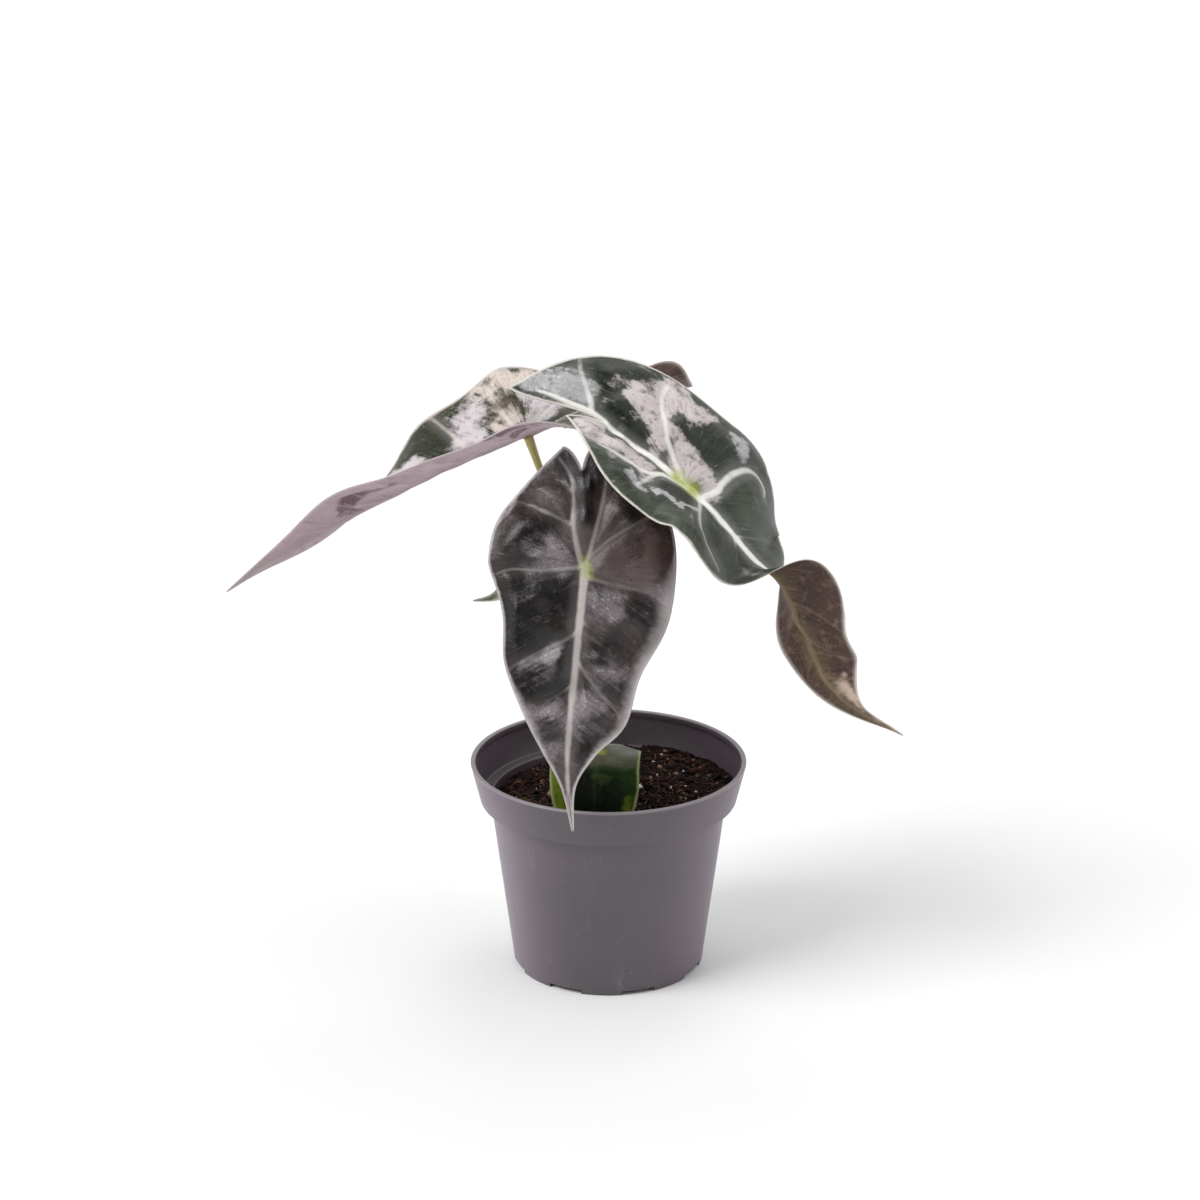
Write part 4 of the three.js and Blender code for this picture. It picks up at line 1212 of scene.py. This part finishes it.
def drawVeins(leaf, points):
    # millimetres from the nearest vein's side, negative inside it, how pale it is, and its rib's depth
    form = bladeForm
    side = np.full(len(points), np.inf)
    reach = np.full(len(points), 1e-9)
    pale = np.zeros(len(points))
    depth = np.zeros(len(points))
    for half, wide, narrow, path in leaf["veins"]:
        control = np.array(path, float) * (signOf(half), 1)
        line = blend(control, np.linspace(0, len(control) - 1, 10 * len(control)))
        away, share = distanceTo(points, line)
        radius = (wide + (narrow - wide) * share) / 2
        side = np.minimum(side, away - radius)
        near = np.exp(-np.maximum(away - radius, 0) / form["veinReach"])
        reach = np.maximum(reach, near)
        pale = np.maximum(pale, near * ease(wide, *form["paleFrom"]) * (1 - form["fading"] * share))
        depth = np.maximum(depth, np.minimum(radius, form["ribLimit"]) * (1 - ease(away, 0, radius * 2)))
    return side, pale / reach, depth


def patchesOf(leaf, points):
    # each kind's share of the ground, from the soft spots and strokes given:
    # half, radius, strength, points of distance out and distance along
    form = bladeForm
    noise.seed_set(form["swirlSeed"])
    moved = points.copy()
    for swirl, drift in form["swirls"]:
        moved += drift * np.array([noise.noise_vector(Vector((x, y, 0)) * swirl)[:2] for x, y in points])
    sums = {kind: np.zeros(len(points)) for kind in patchKinds}
    for kind, patches in leaf["patches"].items():
        for half, radius, strength, path in patches:
            line = np.array(path + path[-1:], float) * (signOf(half), 1)
            away = distanceTo(moved, line)[0]
            sums[kind] += strength * np.exp(-form["falloff"] * (away / radius) ** 2)
    # the dark patches are painted shade and the warm and silver ones painted sheen and highlights; bruise and
    # cream, the blade's own colour, are not shared out
    total = form["groundShare"] + sums["dark"] + sums["warmSheen"] + sums["silverSheen"]
    return {kind: found / (1 if kind in ("bruise", "cream") else total) for kind, found in sums.items()}


def widthOf(blade, points):
    # how wide each half is at each point
    width = np.zeros(len(points))
    for half in (left, right):
        chosen = points[:, 0] * signOf(half) >= 0
        inner, outer = blade.edges(half, points[chosen, 1])
        width[chosen] = outer - inner
    return width


def bandOf(blade, points, edge):
    # the place across the pale band inside the margin: below 0 in it, and 1 well inside the blade
    form = bladeForm
    width = np.zeros(len(points))
    for half in (left, right):
        chosen = points[:, 0] * signOf(half) >= 0
        full, start, end = blade.leaf["band"][half]
        along = points[chosen, 1]
        most = blade.edges(half, along)[1] * form["bandShare"]
        width[chosen] = np.minimum(full * ease(along, start, end), most)
    return (edge - width) / (width * form["bandSoftness"] + form["bandLeast"])


def bentPoints(blade, mesh, flat):
    bent = np.empty((len(flat), 3))
    for half, chosen in ((left, flat[:, 0] < 0), (right, flat[:, 0] >= 0)):
        bent[chosen] = blade.point(half, np.abs(flat[chosen, 0]), flat[chosen, 1])
    return rounded(mesh, bent, 1 - calmed(blade.leaf, flat[:, 1]))


def reliefOf(name, leaf, flat, edge, vein, depth):
    # swollen between the veins, and raised a little along them
    form, most = bladeForm, leaf["puff"]
    waves = form["dentWaves"]
    dents = np.array([noise.noise(Vector((x * waves, y * waves, len(name)))) for x, y in flat])
    puff = most * (1 - np.exp(-np.maximum(vein, 0) / form["puffReach"])) + form["dents"] * most * dents
    puff -= min(form["sunkShare"] * most, form["sunkMost"])
    relief = puff * ease(edge, *form["swellingIn"]) + form["ribRise"] * depth
    return relief * ease(edge, *form["reliefIn"])


def sheetOf(edge, wide):
    # thinner at the margin and in the tips
    rim, tips = bladeForm["edgeSheet"], bladeForm["tipSheet"]
    inward = ease(edge, *bladeForm["thicknessIn"])
    return bladeForm["sheet"] * (rim + (1 - rim) * inward) * (tips + (1 - tips) * wide)


def makeBlade(name, leaf):
    blade = Blade(leaf)
    mesh = meshOf(flatBlade(blade), "leaf_" + name)
    flat = pointsOf(mesh)[:, :2]
    edge = np.min([distanceTo(flat, path)[0] for half in (left, right)
                   for path in blade.outline(half) if len(path) > 1], axis=0)
    vein, pale, depth = drawVeins(leaf, flat)
    wide = ease(widthOf(blade, flat), *bladeForm["narrow"])
    kept = calmed(leaf, flat[:, 1]) * wide
    bent = bentPoints(blade, mesh, flat)
    setPoints(mesh, bent * mm)
    normals = np.empty(len(flat) * 3)
    mesh.vertex_normals.foreach_get("vector", normals)
    rise = reliefOf(name, leaf, flat, edge, vein, depth) * kept + bladeForm["sheet"] / 2
    setPoints(mesh, (bent + normals.reshape(-1, 3) * rise[:, None]) * mm)
    half, stroke, radius = leaf["heart"]
    heart = distanceTo(flat, np.array(stroke) * (signOf(half), 1))[0] - radius
    values = {"vein": vein, "pale": pale, "edge": edge, "band": bandOf(blade, flat, edge), "heart": heart}
    for key, value in (values | patchesOf(leaf, flat)).items():
        addValues(mesh, key, value)
    looks = [upperLook(name, leaf), underLook(name, leaf), rimLook(name, leaf)]
    thing = piece(mesh, looks, ["blade_" + name])
    ribs = bladeForm["ribDepth"] * depth * ease(edge, *bladeForm["thicknessIn"]) * kept
    thicken(thing, (sheetOf(edge, wide) + ribs) / bladeForm["thickness"])


def calmed(leaf, along):
    # how much of the relief is kept: little of it where the blade turns over sharply
    start, end = leaf["fold"]
    soft = bladeForm["foldEase"]
    return 1 - bladeForm["foldCalm"] * ease(along, start, start + soft) * (1 - ease(along, end - soft, end))


def rounded(mesh, points, weights):
    # each point moves towards the middle of its neighbours, by its weight, many times over
    ends = np.empty(len(mesh.edges) * 2, dtype=int)
    mesh.edges.foreach_get("vertices", ends)
    first, second = ends.reshape(-1, 2).T
    count = np.bincount(ends, minlength=len(points))[:, None]
    points = points.copy()
    for _ in range(bladeForm["rounding"] if weights.max() > 0 else 0):
        sums = np.zeros_like(points)
        np.add.at(sums, first, points[second])
        np.add.at(sums, second, points[first])
        points += weights[:, None] * (sums / count - points)
    return points


def thicken(thing, weights):
    group = thing.vertex_groups.new(name="thickness")
    count = bladeForm["thicknessSteps"]
    steps = np.clip(np.round(weights * count).astype(int), 1, count)
    for step in np.unique(steps):
        group.add(np.nonzero(steps == step)[0].tolist(), step / count, "REPLACE")
    wall = thing.modifiers.new("wall", "SOLIDIFY")
    wall.thickness = bladeForm["thickness"] * mm
    wall.offset = -1
    wall.vertex_group = "thickness"
    wall.material_offset = 1
    wall.material_offset_rim = 2


def colorsOf(leaf):
    return {key: shade(*value) for key, value in leaf["colors"].items()}


def upperLook(name, leaf):
    look = Look(f"blade_{name}_upper")
    colors = colorsOf(leaf)
    flat, rays = look.layout("flat"), look.layout("rays")
    vein, pale, edge, band, heart = (look.attribute(key) for key in ("vein", "pale", "edge", "band", "heart"))
    clouds = look.noise(flat, 4, detail=4, roughness=0.55)
    mottle = look.noise(flat, 16, detail=5, roughness=0.68)
    streaks = look.noise(flat, 22, detail=4, roughness=0.6, stretch=(1.6, 0.35, 1))
    grain = look.noise(flat, 95, detail=3, roughness=0.6)
    specks = look.noise(flat, 80, detail=2, roughness=0.7)
    flecks = look.noise(flat, 55, detail=6, roughness=0.8)
    bands = look.noise(rays, 14, detail=4, roughness=0.6, stretch=(1, 0.22, 1))
    threads = look.noise(rays, 90, detail=3, roughness=0.65, stretch=(1, 0.07, 1))
    net = look.net(flat, 34)
    ragged = (mottle - 0.5) * leaf["ragged"] + (bands - 0.5) * leaf["rayed"]
    ragged = ragged + (threads - 0.5) * 0.5 + (grain - 0.5) * 0.25
    ground = clouds + (streaks - 0.5) * 0.3 + (threads - 0.5) * 0.5
    color = look.lay(colors["base"], colors["tint"], ground, 0.36, 0.64)
    # painted shade, then painted warm and silver sheen and highlights over the ground; stain breaks each back
    # to the tint in streaks
    stain = look.smooth(bands * 0.4 + threads * 0.4 + mottle * 0.4, 0.6, 0.78) * leaf["stain"]
    for kind in ("dark", "warmSheen", "silverSheen"):
        mask = look.smooth(look.attribute(kind) + ragged, 0.5 - leaf["crisp"], 0.5 + leaf["crisp"])
        color = look.mix(mask, color, look.mix(stain, colors[kind], colors["tint"]))
    # painted glints, small highlights on the silver patches, whose mask was the last
    glints = flecks + (threads - 0.5) * 0.3
    color = look.lay(color, colors["vein"], glints, 0.5, 0.68, mask * leaf["glints"])
    color = look.lay(color, colors["dark"], specks, 0.63, 0.69, 0.8)
    color = look.lay(color, colors["silverSheen"], threads, 0.6, 0.78, 0.16)
    color = look.lay(color, colors["dark"], threads, 0.4, 0.24, 0.3)
    color = look.mix(net * 0.02, color, colors["silverSheen"])
    side = vein + (mottle - 0.5) * 1.2
    inVein = look.smooth(side, 0.6, -0.9) * pale
    # a silver halo within 5 mm of the pale veins: partly painted sheen, partly the blade's own paler ground
    color = look.lay(color, colors["silverSheen"], side, 5, 0, pale * 0.3)
    color = look.mix(inVein * (1 - look.smooth(mottle, 0.5, 0.75) * 0.3), color, colors["vein"])
    color = look.lay(color, colors["margin"], band + (mottle - 0.5) * 2 + (threads - 0.5), 1, -1, 0.7)
    color = look.lay(color, colors["margin"], edge + (mottle - 0.5) * 1.5, 1.5, 0.4, 0.85)
    heart = heart + (mottle - 0.5) * 10 + (grain - 0.5) * 4
    color = look.lay(color, bladeForm["upperHeart"], heart, 4.5, -3, 0.9)
    rough = mottle * 0.16 + inVein * 0.1 + 0.25
    relief = grain * 0.25 + mottle * 0.5 + streaks * 0.3 + threads * 0.35 - net * 0.12
    return look.finish(Base_Color=color, Roughness=rough, Specular_IOR_Level=leaf["gloss"],
                       Coat_Weight=0.06, Coat_Roughness=0.2, Normal=look.bump(relief, 0.45, 0.0008))


def underLook(name, leaf):
    look = Look(f"blade_{name}_under")
    colors = colorsOf(leaf)
    flat, rays = look.layout("flat"), look.layout("rays")
    vein, pale, edge, band, heart, bruise, cream = (
        look.attribute(key) for key in ("vein", "pale", "edge", "band", "heart", "bruise", "cream"))
    clouds = look.noise(flat, 5, detail=4, roughness=0.6)
    mottle = look.noise(flat, 20, detail=4, roughness=0.65)
    grain = look.noise(flat, 110, detail=3, roughness=0.6)
    folds = look.noise(rays, 30, detail=4, roughness=0.6, stretch=(1, 0.15, 1))
    net = look.net(flat, 36)
    dark = bruise + (mottle - 0.5) * 0.7 + look.smooth(clouds, 0.52, 0.7) * 0.5
    away = look.axis(rays, "Y") + (folds - 0.5) * 0.12
    color = look.lay(colors["under"], colors["underDark"], dark, 0.25, 0.7)
    color = look.lay(color, colors["underPale"], mottle, 0.5, 0.7, 0.4)
    color = look.lay(color, colors["spine"], away, 2 * bladeForm["spineHalf"], 0, 0.75)
    # darker and paler streaks along the folds: painted shade and painted light of the crumples
    color = look.lay(color, colors["underDark"], folds, 0.56, 0.66, 0.35)
    color = look.lay(color, colors["underPale"], folds, 0.42, 0.34, 0.3)
    color = look.mix(net * 0.18, color, colors["underPale"])
    color = look.lay(color, colors["cream"], cream + (mottle - 0.5) + (folds - 0.5), 0.2, 1.1, 0.85)
    color = look.lay(color, colors["underPale"], vein, 0.6, -0.5, (pale * 0.6 + 0.3) * 0.8)
    color = look.lay(color, colors["margin"], band, 1, -1, 0.45)
    color = look.lay(color, colors["margin"], edge, 1, 0.3, 0.6)
    color = look.lay(color, bladeForm["underHeart"], heart, 4, -1, 0.5)
    return look.finish(Base_Color=color, Roughness=mottle * 0.2 + 0.42, Specular_IOR_Level=0.25,
                       Normal=look.bump(grain * 0.3 + net * 0.3 + folds, 0.45, 0.0008))


def rimLook(name, leaf):
    look = Look(f"blade_{name}_rim")
    colors = colorsOf(leaf)
    tone = look.noise(look.layout("flat"), 12, detail=3)
    color = look.lay(colors["margin"], colors["underPale"], tone, 0.3, 0.7)
    return look.finish(Base_Color=color, Roughness=0.4)


for leafName, leafValues in leaves.items():
    makeBlade(leafName, leafValues)
print("blades made")


# Stalks and crown

stalk = {
    "ringRadius": 5,
    "base": 2.3,
    "top": 1.6,
    "sunk": 0.9,
    "entry": 11,
    "entryShare": 0.3,
    "upright": 4,
    "sides": 24,
    "step": 1.2,
    "leastRings": 12,
    "curveSteps": 40,
    "swell": 0.5,
    "topSwell": 22,
    "baseSwell": 14,
    "green": shade(204, 194, 124),
    "tan": shade(176, 148, 112),
    "brown": shade(104, 74, 54),
}
crown = {
    "x": -8,
    "y": 13,
    "radius": 8,
    "top": 80,
    "bottom": 56,
    "sides": 72,
    "rings": 60,
    "above": 0.2,
    "foot": 0.72,
    "footShare": 0.3,
    "shoulder": 1.2,
    "shoulderFrom": 0.93,
    "scar": 0.35,
    "scarWaves": 2.6,
    "scarWander": 1.2,
    "wanderWaves": 90,
    "knob": 0.9,
    "knobWaves": 260,
    "inward": 0.5,
    "fibreColors": ((0.05, 0.025, 0.014), (0.24, 0.15, 0.08)),
    "mossy": (0.12, 0.11, 0.035),
}


def smoothLine(points, count):
    # centripetal Catmull-Rom curve through the points, in even steps
    points = np.array(points, float)
    points = np.vstack([2 * points[0] - points[1], points, 2 * points[-1] - points[-2]])
    line = []
    for number in range(1, len(points) - 2):
        p0, p1, p2, p3 = points[number - 1:number + 3]
        d0, d1, d2 = (math.sqrt(np.linalg.norm(b - a)) for a, b in ((p0, p1), (p1, p2), (p2, p3)))
        start = ((p1 - p0) / d0 - (p2 - p0) / (d0 + d1) + (p2 - p1) / d1) * d1
        end = ((p2 - p1) / d1 - (p3 - p1) / (d1 + d2) + (p3 - p2) / d2) * d1
        t = np.linspace(0, 1, stalk["curveSteps"])[:, None]
        line.append(hermite(t, p1, p2, start, end))
    line = np.vstack(line)
    lengths = np.concatenate([[0], np.cumsum(np.linalg.norm(np.diff(line, axis=0), axis=1))])
    even = np.linspace(0, lengths[-1], count)
    return np.stack([np.interp(even, lengths, line[:, axis]) for axis in range(3)], axis=1)


def stalkPath(leaf):
    blade = Blade(leaf)
    at = blade.at[leaf["junction"]]
    up = blade.frame(np.array(float(leaf["junction"])))[1]
    turn = math.radians(leaf["stalkFrom"])
    ring = stalk["ringRadius"]
    foot = np.array([crown["x"] + ring * math.cos(turn), crown["y"] + ring * math.sin(turn), crown["top"]])
    top = at - up * stalk["sunk"]
    entry = top - up * min(stalk["entry"], stalk["entryShare"] * np.linalg.norm(top - foot))
    points = [foot, foot + (0, 0, stalk["upright"]), *leaf["stalkVia"], entry, top]
    length = sum(np.linalg.norm(np.subtract(b, a)) for a, b in zip(points, points[1:]))
    return smoothLine(points, max(stalk["leastRings"], round(length / stalk["step"])))


def makeStalk(name, leaf):
    path = stalkPath(leaf)
    share = np.linspace(0, 1, len(path))
    radii = stalk["top"] + (stalk["base"] - stalk["top"]) * (1 - share) ** 2
    radii += stalk["swell"] * np.exp(-((1 - share) * stalk["topSwell"]) ** 2)
    radii += stalk["swell"] * np.exp(-(share * stalk["baseSwell"]) ** 2)
    bm = bmesh.new()
    tube(bm, path * mm, radii * mm, stalk["sides"])
    mesh = closed(bm, "stem_" + name)
    heights = pointsOf(mesh)
    nearest = np.argmin(np.linalg.norm(heights[:, None] - path[None] * mm, axis=2), axis=1)
    addValues(mesh, "share", share[nearest])
    piece(mesh, [stalkLook(name)], ["stalk_" + name])


def stalkLook(name):
    look = Look("stem_" + name)
    where = look.coordinates()
    share = look.attribute("share")
    streaks = look.noise(where, 420, detail=3, stretch=(1, 1, 0.12))
    spots = look.noise(where, 210, detail=4, roughness=0.7)
    color = look.lay(stalk["tan"], stalk["green"], share + (streaks - 0.5) * 0.5, 0.3, 0.8)
    color = look.lay(color, stalk["brown"], share, 0.25, 0.02, 0.8)
    color = look.lay(color, stalk["brown"], spots, 0.6, 0.7, 0.3)
    return look.finish(Base_Color=color, Roughness=spots * 0.2 + 0.3,
                       Normal=look.bump(streaks + spots * 0.5, 0.25, 0.0004))


def makeCrown():
    bm = bmesh.new()
    heights = np.linspace(crown["bottom"], crown["top"] + crown["above"], crown["rings"])
    path = np.stack([np.full_like(heights, crown["x"]), np.full_like(heights, crown["y"]), heights], axis=1)
    share = (heights - heights[0]) / (heights[-1] - heights[0])
    widening = crown["foot"] + (1 - crown["foot"]) * ease(share, 0, crown["footShare"])
    radii = crown["radius"] * widening - crown["shoulder"] * ease(share, crown["shoulderFrom"], 1)
    tube(bm, path * mm, radii * mm, crown["sides"])
    for corner in bm.verts:
        away = corner.co - Vector((crown["x"] * mm, crown["y"] * mm, corner.co.z))
        wander = crown["scarWander"] * noise.noise(corner.co * crown["wanderWaves"])
        scars = crown["scar"] * math.sin(corner.co.z / mm * crown["scarWaves"] + wander)
        knobs = crown["knob"] * noise.noise(corner.co * crown["knobWaves"])
        corner.co += away.normalized() * (scars + knobs - crown["inward"]) * mm
    piece(closed(bm, "rootstock"), [crownLook()], ["crown"])


def crownLook():
    look = Look("rootstock")
    where = look.coordinates()
    fibres = look.noise(where, 380, detail=5, roughness=0.7, stretch=(1, 1, 0.2))
    patches = look.noise(where, 90, detail=3)
    color = look.lay(*crown["fibreColors"], fibres, 0.35, 0.68)
    color = look.lay(color, crown["mossy"], patches, 0.5, 0.7, 0.5)
    return look.finish(Base_Color=color, Roughness=0.75, Normal=look.bump(fibres, 0.7, 0.001))


for leafName, leafValues in leaves.items():
    makeStalk(leafName, leafValues)
makeCrown()
print("stalks and crown made")
